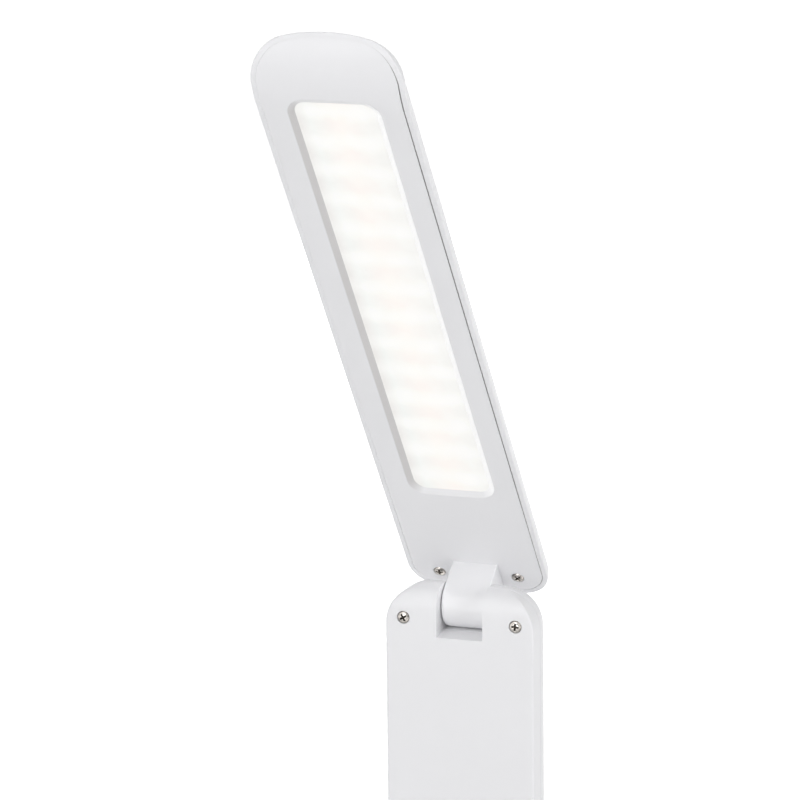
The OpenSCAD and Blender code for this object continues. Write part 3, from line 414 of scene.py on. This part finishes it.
def glow_material():
    """Milky panel: each row of emitters shows as a soft brighter band, warm in the middle."""
    mat, nodes, links, bsdf, coord = tree("milky_diffuser")
    parts = nodes.new("ShaderNodeSeparateXYZ")
    links.new(coord.outputs["Object"], parts.inputs[0])
    phase = maths(nodes, links, "ADD", parts.outputs["Y"], ROW_FIRST * MM)
    phase = maths(nodes, links, "MULTIPLY", phase, 2 * math.pi / (ROW_PITCH * MM))
    wave = maths(nodes, links, "COSINE", phase)
    wave = maths(nodes, links, "MULTIPLY_ADD", wave, 0.5, 0.5)
    wave = maths(nodes, links, "POWER", wave, 1.4)
    across = ranged(nodes, links, parts.outputs["X"], 0.0, 1.0, -0.013, 0.013)
    soft = noise(nodes, links, coord, 160, 2.0)
    cloud = ranged(nodes, links, soft.outputs[0], -0.15, 0.15)
    wave = maths(nodes, links, "ADD", wave, cloud)
    dim = ramp(nodes, links, across, [(0.04, (0.806, 0.792, 0.768)), (0.17, (0.864, 0.888, 0.859)),
                                      (0.5, (0.975, 0.908, 0.864)), (0.83, (0.911, 0.91, 0.88)),
                                      (0.96, (0.869, 0.869, 0.845))])
    lit = ramp(nodes, links, across, [(0.04, (0.864, 0.864, 0.84)), (0.17, (0.96, 0.97, 0.95)),
                                      (0.5, (0.979, 0.974, 0.924)), (0.83, (0.979, 0.979, 0.96)),
                                      (0.96, (0.945, 0.947, 0.922))])
    blend = nodes.new("ShaderNodeMix")
    blend.data_type = "RGBA"
    links.new(wave, blend.inputs["Factor"])
    links.new(dim, blend.inputs["A"])
    links.new(lit, blend.inputs["B"])
    links.new(blend.outputs["Result"], bsdf.inputs["Emission Color"])
    bsdf.inputs["Emission Strength"].default_value = GLOW
    tint = ramp(nodes, links, soft.outputs[0], [(0.3, (0.27, 0.265, 0.26)), (0.7, (0.30, 0.295, 0.29))])
    links.new(tint, bsdf.inputs["Base Color"])
    links.new(ranged(nodes, links, soft.outputs[0], 0.35, 0.45), bsdf.inputs["Roughness"])
    return mat


cover_white_painted_shading = cover_painted_shading_material()
glow = glow_material()

# Nodes that keep the CAD's own shape: their material and the rounding of their edges.
DRESS = {
    "base_plate": (white, 0.3),
    "rubber_pad": (rubber, 0.4),
    "base_screws": (nickel_with_painted_glints, 0),
    "ballast_plate": (ballast, 0.5),
    "control_board": (board, 0.1),
    "board_components": (black, 0.15),
    "board_screws": (steel, 0),
    "power_switch": (black, 0.2),
    "tone_switch": (black, 0.2),
    "power_plunger": (black, 0.2),
    "tone_plunger": (black, 0.2),
    "power_inlet": (black, 0.15),
    "inlet_lead": (sheath, 0),
    "base_lead": (sheath, 0),
    "knuckle_bolts": (steel, 0),
    "base_hinge_pin": (steel, 0.1),
    "base_friction_washers": (steel, 0.1),
    "base_disc_spring": (steel, 0),
    "base_hinge_nut": (steel, 0.15),
    "base_hinge_brackets": (steel, 0.15),
    "base_bracket_screws": (steel, 0),
    "arm_lead": (sheath, 0),
    "head_hinge_brackets": (steel, 0.15),
    "head_bracket_screws": (steel, 0),
    "head_hinge_pin": (steel, 0.1),
    "head_friction_washers": (steel, 0.1),
    "head_disc_spring": (steel, 0),
    "head_hinge_nut": (steel, 0.15),
    "knuckle_screws": (steel, 0),
    "light_frame": (inner, 0.15),
    "led_board": (white_board, 0.1),
    "cool_leds": (cool_led, 0.1),
    "warm_leds": (warm_led, 0.1),
    "head_lead": (sheath, 0),
}
for node, (mat, edge) in DRESS.items():
    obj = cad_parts[node]
    obj.data.materials.clear()
    obj.data.materials.append(mat)
    if edge:
        soften(obj, edge, weld=True)


def piece(obj, body, mat, slot, *nodes):
    """Hands a piece over: its material, the body it rides on and the nodes it replaces. Its slot is not
    used.
    """
    if mat:
        obj.data.materials.clear()
        obj.data.materials.append(mat)
    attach(obj, body)
    if nodes:
        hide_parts(*nodes)
    return obj


# ---------- head ----------
def under(y, d=0.0):
    """Height of the surface d above the head's underside at that y."""
    run = -y - TIP_START
    if run <= 0:
        return d
    r = TIP_R - d
    return TIP_R - math.sqrt(max(r * r - run * run, 0.01))


SIDE_YS = [0.012, 0.03, 0.06, 0.1, 0.2, 0.35, 0.5, 0.65, 0.8, 0.9, 0.96, 0.988]


def head_outline():
    """Points and inward normals round the head. The end of the tip is arched."""
    h, near, reach = HEAD_W / 2, KNUCKLE_R, TIP_ARCH - TIP_CORNER
    turn = math.degrees(math.asin((h - TIP_CORNER) / reach))
    tip = TIP_ARCH - HEAD_FAR - reach * math.cos(math.radians(turn))
    hi = near - NEAR_R
    out = []
    arc(out, h - NEAR_R, hi, NEAR_R, 0, 90, 16)
    out.extend((x * (h - NEAR_R), near, 0, -1) for x in reversed(XS))
    arc(out, -h + NEAR_R, hi, NEAR_R, 90, 180, 16)
    out.extend((-h, tip + (hi - tip) * f, 1, 0) for f in reversed(SIDE_YS))
    arc(out, -h + TIP_CORNER, tip, TIP_CORNER, 180, 270 - turn, 14)
    arc(out, 0, TIP_ARCH - HEAD_FAR, TIP_ARCH, 270 - turn * 0.9, 270 + turn * 0.9, 10)
    arc(out, h - TIP_CORNER, tip, TIP_CORNER, 270 + turn, 360, 14)
    out.extend((h, tip + (hi - tip) * f, -1, 0) for f in SIDE_YS)
    return out


HEAD_LINE = head_outline()


class Slab:
    """Form of the head: a slab whose upper edges are rounded, resting on the curved underside. It is
    drawn in at the sides and dropped from above. The rounding is smallest at the tip."""

    def __init__(self, drawn_in, drop, lift, gaps=None):
        insets = [drawn_in + g for g in gaps] if gaps else [drawn_in] * len(HEAD_LINE)
        self.line = [(x + nx * d, y + ny * d, nx, ny) for (x, y, nx, ny), d in zip(HEAD_LINE, insets)]
        less = max(drawn_in, drop)
        self.top = HEAD_T - drop
        to_tip = TIP_EDGE - HEAD_EDGE
        self.edge = [max(HEAD_EDGE + to_tip * max(ny, 0) - less, 0.4) for _, _, _, ny in self.line]
        self.length = [self.top - e + e * math.pi / 2 for e in self.edge]
        self.lift = lift
        self.low = [self._start(i) for i in range(len(self.line))]

    def at(self, i, u):
        """Point of column i at a run of u up the wall and over the rounded edge."""
        edge = self.edge[i]
        wall = self.top - edge
        if u <= wall:
            d, z = 0.0, u
        else:
            a = (u - wall) / edge
            d, z = edge * (1 - math.cos(a)), wall + edge * math.sin(a)
        x, y, nx, ny = self.line[i]
        return (x + nx * d, y + ny * d, z)

    def _start(self, i):
        """Run at which column i crosses the curved underside."""
        lo, hi = -0.5, self.length[i]
        for _ in range(40):
            mid = (lo + hi) / 2
            p = self.at(i, mid)
            if p[2] < under(p[1], self.lift):
                lo = mid
            else:
                hi = mid
        return (lo + hi) / 2

    def ring(self, f, skip=0.0):
        """Ring at fraction f of the way from the lower edge, plus skip, to the flat top."""
        out = []
        for i in range(len(self.line)):
            u0 = self.low[i] + (skip[i] if skip else 0.0)
            out.append(self.at(i, u0 + (self.length[i] - u0) * f))
        return out

    def foot(self):
        return [self.at(i, u) for i, u in enumerate(self.low)]


def on_under(p, d=0.0):
    return (p[0], p[1], under(p[1], d))


def line_gap(x, y, ny):
    """Width of the parting line: the cover sits a little askew in its rim and touches it at the tip."""
    s = -y
    if x > 0:
        wide = 0.15 + 0.13 * clamped((s - 20) / 25)
    else:
        wide = 0.16 - 0.11 * clamped((s - 30) / 35)
    return wide + (0.03 - wide) * clamped(ny / 0.75)


GAPS = [line_gap(x, y, ny) for x, y, nx, ny in HEAD_LINE]
outer = Slab(0, 0, 0)
pocket = Slab(RIM, RIM, 0)
pocket_in = Slab(RIM, RIM, COVER_T)
cover_line = Slab(RIM, RIM, 0, GAPS)
cover_in = Slab(RIM, RIM, COVER_T, GAPS)
cavity = Slab(RIM + LEDGE, ROOF, COVER_T)


def head_shell():
    """The upper skin as one closed loft: outside, rolled lower edge, rim for the cover, cavity."""
    foot, rim = outer.foot(), pocket.foot()
    gap = [(Vector(a) - Vector(b)).length for a, b in zip(foot, rim)]
    small = [min(0.4, 0.32 * g) for g in gap]
    rings = [outer.ring(k / 14, small) for k in range(14, -1, -1)]
    start = rings[-1]
    inner_edge = [on_under(mix(f, r, s / g)) for f, r, s, g in zip(foot, rim, small, gap)]
    rings += turned([bend3(a, c, b, 4) for a, c, b in zip(start, foot, inner_edge)], 1)
    tiny = [min(0.02 + 0.5 * w, 0.3 * g) for w, g in zip(GAPS, gap)]
    a_ring = [on_under(mix(r, f, t / g)) for f, r, t, g in zip(foot, rim, tiny, gap)]
    wall = pocket_in.foot()
    b_ring = [mix(r, w, t / COVER_T) for r, w, t in zip(rim, wall, tiny)]
    rings += turned([bend3(a, c, b) for a, c, b in zip(a_ring, rim, b_ring)])
    rings.append(wall)
    rings += [cavity.ring(k / 6) for k in range(0, 7)]
    obj = build("head_top_shell", *loft(rings), HEAD)
    shade(obj, 40)
    return piece(obj, "head", white, "white_plastic", "head_shell")


def screw_bore(place, origin, axis):
    """Tool for the sunk seat of a screw head."""
    low, high, soft = -BORE_DEPTH, 1.0, 0.15
    prof = [(AXLE, low), (BORE_R - soft, low), (BORE_R, low + soft), (BORE_R, high), (AXLE, high)]
    return lathe("bore", prof, toward(place, origin, axis), 32)


def head_cover():
    """The face panel: its edge along the parting line, the face, and the slope down into the window."""
    foot, top = cover_line.foot(), cover_in.foot()
    win = outline(WIN_W, -WIN_MID - WIN_L / 2, -WIN_MID + WIN_L / 2, WIN_R, WIN_R, SIDE_YS,
                  [k * 0.18 for k in range(-5, 6)], 14, 16)
    face = [on_under(p) for p in inset(win, 0)]
    glow_edge = [(x, y, BEVEL_D) for x, y in inset(win, BEVEL_W)]
    rings = [top]
    tiny = [0.02 + 0.5 * g for g in GAPS]
    b_ring = [mix(f, t, r / COVER_T) for f, t, r in zip(foot, top, tiny)]
    run = [(Vector(f) - Vector(w)).length for f, w in zip(foot, face)]
    a_ring = [on_under(mix(f, w, r / l)) for f, w, r, l in zip(foot, face, tiny, run)]
    rings += turned([bend3(b, c, a) for a, c, b in zip(a_ring, foot, b_ring)])
    for k in range(1, 12):
        rings.append([on_under(mix(a, w, k / 12)) for a, w in zip(a_ring, face)])
    rings.append([on_under(p) for p in inset(win, -0.5)])
    pre = [on_under(p) for p in inset(win, -0.12)]
    post = [mix(f, g, 0.12) for f, g in zip(face, glow_edge)]
    rings += turned([bend3(a, c, b) for a, c, b in zip(pre, face, post)])
    rings.append(glow_edge)
    rings.append([(x, y, COVER_T) for x, y, z in glow_edge])
    obj = build("head_face_cover", *loft(rings, around=True), HEAD)
    cut(obj, *[screw_bore(HEAD, (side * HEAD_SCREW_X, HEAD_SCREW_Y, 0), (0, 0, -1)) for side in (-1, 1)])
    shade(obj, 40)
    return piece(obj, "head", cover_white_painted_shading, "white_plastic", "head_cover")


def diffuser():
    """The milky panel, which lies on the slope of the window."""
    near, far = -WIN_MID - PANEL_HALF, -WIN_MID + PANEL_HALF
    line = outline(PANEL_W, near, far, PANEL_R, PANEL_R, SIDE_YS, corner=8)
    low = BEVEL_D + 0.02
    top = low + PANEL_T
    steps = [(0.3, low), (0.08, low + 0.08), (0, low + 0.3), (0, top - 0.2), (0.2, top)]
    rings = [at_z(inset(line, d), z) for d, z in steps]
    obj = build("light_diffuser", *loft(rings), HEAD)
    shade(obj, 40)
    return piece(obj, "head", glow, "diffuser_plastic", "diffuser")


def knuckle(name, place, top, body, *nodes):
    """Round knuckle whose square post rises to the given height. Its rounding grows from the post to
    the drum."""
    r, steps = KNUCKLE_R, 40
    drum = [math.pi * i / steps for i in range(steps + 1)]
    prof = [(r, top * f, 0) for f in (1, 0.75, 0.5, 0.25)]
    prof += [(r * math.cos(a), -r * math.sin(a), math.sin(a)) for a in drum]
    prof += [(-r, top * f, 0) for f in (0.25, 0.5, 0.75, 1)]
    half = KNUCKLE_W / 2
    turns = [math.pi * k / 16 for k in range(9)]

    def ring(side, turn):
        out = []
        for y, z, low in prof:
            edge = POST_EDGE + (DRUM_EDGE - POST_EDGE) * low
            k = 1 - edge * (1 - math.sin(turn)) / KNUCKLE_R
            out.append((side * (half - edge * (1 - math.cos(turn))), y * k, z * k if z < 0 else z))
        return out

    rings = [ring(-1, turn) for turn in turns]
    rings += [[(0, y, z) for y, z, low in prof]]
    rings += [ring(1, turn) for turn in reversed(turns)]
    obj = build(name, *loft(rings), place)
    shade(obj, 40)
    return piece(obj, body, white, "white_plastic", *nodes)


HEAD_H = 1.3
CROSS_W, CROSS_FAR, CROSS_NEAR, CROSS_DEPTH = 0.37, 0.8, 0.34, 1.1


def paint_shade_in_recess(obj, at):
    """Paints shade into the cross recess of a screw head: the faces inside it get a darker, near-black
    material.
    """
    obj.data.materials.clear()
    obj.data.materials.append(nickel_with_painted_glints)
    obj.data.materials.append(recess)
    here = at.inverted()
    for face in obj.data.polygons:
        x, y, z = here @ (obj.matrix_world @ face.center / MM)
        inside = math.hypot(x, y) < SCREW_R * 0.86 and 0 < z < HEAD_H * 0.72
        face.material_index = 1 if inside else 0


def cross_arm(at, quarter):
    """One of the two tapered bars that cut the cross recess."""
    spin = at @ Matrix.Rotation(quarter * math.pi / 2, 4, "Z")
    w, far, near = CROSS_W, SCREW_R * CROSS_FAR, SCREW_R * CROSS_NEAR
    slim = w * 0.7
    low, high = HEAD_H - CROSS_DEPTH, HEAD_H + 0.5
    verts = [(-near, -slim, low), (near, -slim, low), (near, slim, low), (-near, slim, low),
             (-far, -w, high), (far, -w, high), (far, w, high), (-far, w, high)]
    faces = [(3, 2, 1, 0), (4, 5, 6, 7), (0, 1, 5, 4), (1, 2, 6, 5), (2, 3, 7, 6), (3, 0, 4, 7)]
    return build("arm", verts, faces, spin)


def screw(name, at, length):
    """One pan head screw, its head's underside at the frame's origin."""
    r, h, shank = SCREW_R, HEAD_H, 1.0
    prof = [(AXLE, -length), (shank * 0.4, -length), (shank, -length + 0.8), (shank, -0.02),
            (shank + 0.02, 0.0), (r - 0.1, 0.0), (r, 0.1), (r, h * 0.38), (r * 0.97, h * 0.55),
            (r * 0.88, h * 0.75), (r * 0.7, h * 0.9), (r * 0.4, h * 0.985), (AXLE, h)]
    obj = lathe(name, prof, at, 40)
    cut(obj, cross_arm(at, 0), cross_arm(at, 1))
    soften(obj, 0.05, 2, 40)
    paint_shade_in_recess(obj, at)
    return obj


def joined(parts):
    """Moves the meshes of all parts into the first."""
    obj = parts[0]
    bm = bmesh.new()
    for part in parts:
        mesh = part.data.copy()
        mesh.transform(part.matrix_world)
        bm.from_mesh(mesh)
    bm.to_mesh(obj.data)
    bm.free()
    obj.matrix_world = Matrix.Identity(4)
    for part in parts[1:]:
        bpy.data.objects.remove(part)
    return obj


def screws(name, spots, body, node, length):
    """Each spot is a frame, a point under the head, the axis out of it and the turn of its cross."""
    made = []
    for place, origin, axis, turn in spots:
        at = toward(place, origin, axis) @ Matrix.Rotation(turn, 4, "Z")
        made.append(screw(name, at, length))
    obj = joined(made)
    obj.name = name
    shade(obj, 30)
    return piece(obj, body, None, "screw_nickel", node)


head_shell()
head_cover()
diffuser()
knuckle("head_knuckle_block", HEAD_AXIS, UNDER - 0.02, "head", "head_knuckle")
head_spots = [(HEAD, (s * HEAD_SCREW_X, HEAD_SCREW_Y, SCREW_SUNK), (0, 0, -1), 0.3 + s * 0.35)
              for s in (-1, 1)]
screws("head_face_screws", head_spots, "head", "head_screws", HEAD_SCREW_L)


# ---------- arm ----------
def front_y(z):
    """The front face curves back to the parting plane at both ends of the arm."""
    for end in (z - (ARM_L + ARM_END - FRONT_R), -ARM_END + FRONT_R - z):
        if end > 0:
            return PART_Y - math.sqrt(max(FRONT_R ** 2 - end * end, 0.0))
    return FRONT_Y


ARM_ZS = [0.01, 0.04, 0.1, 0.25, 0.5, 0.75, 0.9, 0.96, 0.99]


def notch_tool(place):
    """The slot that the knuckle turns in. Its floor rises from the front face towards the drum."""
    w, r = NOTCH_W / 2, NOTCH_R
    low, high, full = math.pi / 6, math.pi / 3, math.pi / 2
    rings = []
    for y, f in ((FRONT_Y - 3, NOTCH_FAR), (-1.2, NOTCH_NEAR), (BACK_Y + 3, NOTCH_NEAR)):
        prof = [(-w, ARM_END + 3), (-w, -f + r)]
        prof += [(-w + r - r * math.cos(a), -f + r - r * math.sin(a)) for a in (low, high, full)]
        prof += [(w - r + r * math.sin(a), -f + r - r * math.cos(a)) for a in (0, low, high)]
        prof += [(w, -f + r), (w, ARM_END + 3)]
        rings.append([(x, y, z) for x, z in prof])
    return build("notch", *loft(rings), place)


def hinge_rooms():
    """Rooms inside the arm in which the nut of each hinge pin turns."""
    near, far = ROOM_X
    rooms = []
    for place in (TOP, BOTTOM):
        for x0, x1 in ((-far, -near), (near, far)):
            rooms.append(box_mesh("room", (x0, ROOM_Y[0], ROOM_Z[0]), (x1, ROOM_Y[1], ROOM_Z[1]), place))
    return rooms


def parting_rings(line, side):
    """The lip of one arm half at the parting plane. side is -1 for the front half and 1 for the back."""
    return [[(x, PART_Y + side * 0.1, z) for x, z in inset(line, 1.0)],
            [(x, PART_Y + side * 0.1, z) for x, z in inset(line, 0.15)],
            [(x, PART_Y + side * 0.25, z) for x, z in inset(line, 0.0)]]


# Rings across the arm's front face, closer where it begins to curve at its ends.
FACE_INSETS = (1.2, 1.8, 2.5, 3.3, 4.2, 5.2, 6.4, 7.8, 9.4, 11.0, 12.4)


def arm_front():
    """The flat front half, which curves back to the parting plane at both ends."""
    line = outline(ARM_W, -ARM_END, ARM_L + ARM_END, ARM_R, ARM_R, ARM_ZS, corner=20)
    r = FRONT_EDGE
    rings = parting_rings(line, -1)
    side = [(x, min(front_y(z) + r, PART_Y - 0.45), z) for x, z, nx, nz in line]
    rings.append([mix(a, b, 0.5) for a, b in zip(rings[-1], side)])
    face = [(x, front_y(z), z) for x, z in inset(line, r)]
    tip = [(x, front_y(z), z) for x, z in inset(line, 0)]
    rings += turned([bend3(a, c, b, 4) for a, c, b in zip(side, tip, face)])
    for d in FACE_INSETS:
        rings.append([(x, front_y(z), z) for x, z in inset(line, d)])
    obj = build("arm_front_panel", *loft(rings), ARM)
    tools = [notch_tool(TOP), notch_tool(BOTTOM)] + hinge_rooms()
    tools += [screw_bore(place, (side * ARM_SCREW_X, FRONT_Y, ARM_SCREW_Z), (0, -1, 0))
              for place in (TOP, BOTTOM) for side in (-1, 1)]
    cut(obj, *tools)
    soften(obj, 0.35, 3, 40)
    shade(obj, 30)
    return piece(obj, "arm", white, "white_plastic", "arm_front_cover")


def arm_back():
    """The rounded back half."""
    line = outline(ARM_W, -ARM_END, ARM_L + ARM_END, ARM_R, ARM_R, ARM_ZS, corner=20)
    edge, h = ARM_EDGE, ARM_T - FRONT_R
    rings = parting_rings(line, 1)
    for i in range(13):
        a = math.pi / 2 * i / 12
        rings.append([(x, PART_Y + h - edge + edge * math.sin(a), z)
                      for x, z in inset(line, edge * (1 - math.cos(a)))])
    obj = build("arm_rear_shell", *loft(rings), ARM)
    cut(obj, notch_tool(TOP), notch_tool(BOTTOM), *hinge_rooms())
    soften(obj, 0.35, 3, 40)
    shade(obj, 30)
    return piece(obj, "arm", white, "white_plastic", "arm_back_shell")


def arm_screws(name, place, node):
    spots = [(place, (s * ARM_SCREW_X, FRONT_Y + SCREW_SUNK, ARM_SCREW_Z), (0, -1, 0), 0.2 - s * 0.3)
             for s in (-1, 1)]
    return screws(name, spots, "arm", node, ARM_SCREW_L)


arm_front()
arm_back()
arm_screws("arm_top_screws", TOP, "arm_upper_screws")
arm_screws("arm_foot_screws", BOTTOM, "arm_lower_screws")

# ---------- base ----------
RUN = [i / 10 for i in range(1, 10)]


def rod(r, low, high):
    """Profile of a plain rod."""
    return [(AXLE, low), (r, low), (r, high), (AXLE, high)]


def base_shell():
    """The upper shell, from the lip inside over the seat of the plate to the rounded top."""
    line = outline(BASE_W, -BASE_L / 2, BASE_L / 2, BASE_R, BASE_R, RUN, corner=24)
    top, low, edge = BASE_Z + BASE_H, BASE_Z, BASE_EDGE
    inside = [(5.0, top - 2.2), (3.2, top - 2.6), (3.2, low + 2.02)]
    plate_seat = [(1.8, low + 2.02), (1.8, low + 0.2), (1.6, low)]
    outside = [(0.7, low), (0.5, low), (0.15, low + 0.15), (0.0, low + 0.5), (0.0, low + 4),
               (0.0, low + 8)]
    rings = [at_z(inset(line, d), z) for d, z in inside + plate_seat + outside]
    for i in range(11):
        a = math.pi / 2 * i / 10
        rings.append(at_z(inset(line, edge * (1 - math.cos(a))), top - edge + edge * math.sin(a)))
    rings.append(at_z(inset(line, 8), top))
    rings.append(at_z(inset(line, 14), top))
    here = Matrix.Identity(4)
    obj = build("base_top_shell", *loft(rings), here)
    slot_low, slot_high = (-SLOT_X, AXIS_Y - SLOT_Y, top - 4), (SLOT_X, AXIS_Y + SLOT_Y, top + 4)
    tools = [box_mesh("slot", slot_low, slot_high, here)]
    well = rod(WELL_R, top - 4, top + 4)
    tools += [lathe("well", well, Matrix.Translation((s * BUTTON_X, BUTTON_Y, 0)), 64) for s in (-1, 1)]
    inlet = toward(here, (INLET_X, BASE_L / 2, INLET_Z), (0, 1, 0))
    tools.append(lathe("hole", rod(INLET_R, -6, 6), inlet, 48))
    cut(obj, *tools)
    soften(obj, 0.3, 3, 50)
    shade(obj, 30)
    return piece(obj, "base", white, "white_plastic", "base_shell")


base_shell()
knuckle("base_knuckle_block", Matrix.Translation((0, AXIS_Y, AXIS_Z)) @ Matrix.Rotation(math.pi, 4, "X"),
        AXIS_Z - POST_FOOT, "base", "base_knuckle")


def push_button(name, x, body, node):
    """A stem, the ring that keeps the button in its well, and a cap with a shallow dish."""
    r, crown, top = CAP_R, CROWN_Z, RING_Z + RING_T
    stem = [(AXLE, STEM_Z), (STEM_R - 0.1, STEM_Z), (STEM_R, STEM_Z + 0.2), (STEM_R, RING_Z)]
    keeper = [(RING_R - 0.1, RING_Z), (RING_R, RING_Z + 0.1), (RING_R, top - 0.1), (RING_R - 0.1, top)]
    cap = [(r, top), (r, crown - CAP_EDGE)]
    for i in (1, 2, 3, 4):
        a = i * math.pi / 8
        cap.append((r - CAP_EDGE * (1 - math.cos(a)), crown - CAP_EDGE + CAP_EDGE * math.sin(a)))
    dish = [(4.6, crown - 0.02), (3.0, crown - 0.1), (AXLE, crown - DISH)]
    obj = lathe(name, stem + keeper + cap + dish, Matrix.Translation((x, BUTTON_Y, 0)), 64)
    shade(obj, 40)
    return piece(obj, body, button_mat, "button_plastic", node)


push_button("power_push_button", -BUTTON_X, "power_button", "power_button")
push_button("tone_push_button", BUTTON_X, "tone_button", "tone_button")

# ---------- floor, light and camera ----------
FLOOR_HALF, FLOOR_GREY = 12, 0.9


def looked_at(nodes, links):
    """1 for the rays that look at a surface, straight, in a gloss or through glass."""
    path = nodes.new("ShaderNodeLightPath")
    gloss = maths(nodes, links, "MAXIMUM", path.outputs["Is Camera Ray"], path.outputs["Is Glossy Ray"])
    return maths(nodes, links, "MAXIMUM", gloss, path.outputs["Is Transmission Ray"])


def floor_material():
    """White that glows only for the rays that look at it, and more with distance, so that it keeps the
    shadow of the lamp and meets the white world."""
    mat = bpy.data.materials.new("floor")
    mat.use_nodes = True
    nodes, links = mat.node_tree.nodes, mat.node_tree.links
    bsdf = nodes["Principled BSDF"]
    bsdf.inputs["Base Color"].default_value = (FLOOR_GREY, FLOOR_GREY, FLOOR_GREY, 1)
    bsdf.inputs["Roughness"].default_value = 0.9
    bsdf.inputs["Specular IOR Level"].default_value = 0.1
    bsdf.inputs["Emission Color"].default_value = (1, 1, 1, 1)
    coord = nodes.new("ShaderNodeTexCoord")
    far = nodes.new("ShaderNodeVectorMath")
    far.operation = "LENGTH"
    links.new(coord.outputs["Object"], far.inputs[0])
    seen = ranged(nodes, links, far.outputs["Value"], 0.5, 1.0, 0.5, 2.5)
    blend = nodes.new("ShaderNodeMix")
    links.new(looked_at(nodes, links), blend.inputs["Factor"])
    blend.inputs["A"].default_value = 0.0
    links.new(seen, blend.inputs["B"])
    links.new(blend.outputs["Result"], bsdf.inputs["Emission Strength"])
    return mat


def background(nodes, color, strength):
    node = nodes.new("ShaderNodeBackground")
    node.inputs["Color"].default_value = (*color, 1)
    node.inputs["Strength"].default_value = strength
    return node


def studio_world():
    """White where it is looked at, and a weak fill for everything else."""
    world = bpy.data.worlds.new("studio")
    bpy.context.scene.world = world
    world.use_nodes = True
    nodes, links = world.node_tree.nodes, world.node_tree.links
    nodes.clear()
    out = nodes.new("ShaderNodeOutputWorld")
    blend = nodes.new("ShaderNodeMixShader")
    fill = background(nodes, (0.98, 0.98, 1.0), 0.1)
    plain = background(nodes, (1, 1, 1), 1.0)
    links.new(looked_at(nodes, links), blend.inputs[0])
    links.new(fill.outputs[0], blend.inputs[1])
    links.new(plain.outputs[0], blend.inputs[2])
    links.new(blend.outputs[0], out.inputs[0])


def softbox(name, at, look, w, h, watts, mirrored=True):
    """A rectangular lamp in metres. The brightest ones aren't mirrored, or the gloss would clip."""
    light = bpy.data.lights.new(name, "AREA")
    light.shape = "RECTANGLE"
    light.size, light.size_y = w, h
    light.energy = watts
    obj = bpy.data.objects.new(name, light)
    bpy.context.scene.collection.objects.link(obj)
    obj.location = at
    obj.rotation_euler = (Vector(look) - Vector(at)).to_track_quat("-Z", "Y").to_euler()
    obj.visible_camera = False
    obj.visible_glossy = mirrored
    return obj


h = FLOOR_HALF
floor_mesh = bpy.data.meshes.new("floor")
floor_mesh.from_pydata([(-h, -h, 0), (h, -h, 0), (h, h, 0), (-h, h, 0)], [], [(0, 1, 2, 3)])
floor_mesh.materials.append(floor_material())
floor = bpy.data.objects.new("floor", floor_mesh)
bpy.context.scene.collection.objects.link(floor)
studio_world()

softbox("front_high", (-0.3, -1.5, 1.9), (0, 0, 0.4), 2.2, 1.4, 12.0)
softbox("front_slope", (-0.2, -1.9, 1.1), (0, 0, 0.4), 0.7, 0.7, 9.2)
softbox("front_low", (-0.4, -2.1, 0.3), (0, 0, 0.3), 1.4, 0.4, 6.3)
softbox("left_front", (-1.7, -1.0, 0.7), (0, 0, 0.35), 1.0, 0.9, 1.4)
softbox("back_low", (-1.2, 1.9, 0.45), (0, 0, 0.4), 2.2, 0.7, 29.5, mirrored=False)
softbox("right", (1.9, -0.2, 0.8), (0, 0, 0.35), 1.2, 1.2, 18.3, mirrored=False)
softbox("top_back", (0, 1.2, 1.8), (0, 0, 0.3), 1.4, 1.0, 9.3)

# The camera of the photograph, solved from the lamp's edges. AWAY is the head hinge as it sees it.
YAW, PITCH, ROLL = 0.3481, 0.2251, -0.011
SENSOR = 36.0
FOCAL = 4389.96 / 800 * SENSOR
AWAY = Vector((0.448, 1.3227, 28.2242)) * 50.0


def photo_camera():
    back = Vector((math.sin(YAW) * math.cos(PITCH), -math.cos(YAW) * math.cos(PITCH), math.sin(PITCH)))
    level = Vector((math.cos(YAW), math.sin(YAW), 0))
    rise = back.cross(level)
    right = level * math.cos(ROLL) + rise * math.sin(ROLL)
    up = -level * math.sin(ROLL) + rise * math.cos(ROLL)
    eye = -(right * AWAY.x - up * AWAY.y - back * AWAY.z) + Vector((0, AXIS_Y, AXIS_Z + ARM_L))
    lens = bpy.data.cameras.new("camera")
    lens.lens = FOCAL
    lens.sensor_width = SENSOR
    lens.clip_end = 50
    obj = bpy.data.objects.new("camera", lens)
    bpy.context.scene.collection.objects.link(obj)
    turn = Matrix((right, up, back)).transposed().to_4x4()
    obj.matrix_world = Matrix.Translation(eye * MM) @ turn
    bpy.context.scene.camera = obj


photo_camera()
bpy.context.scene.view_settings.view_transform = "Standard"
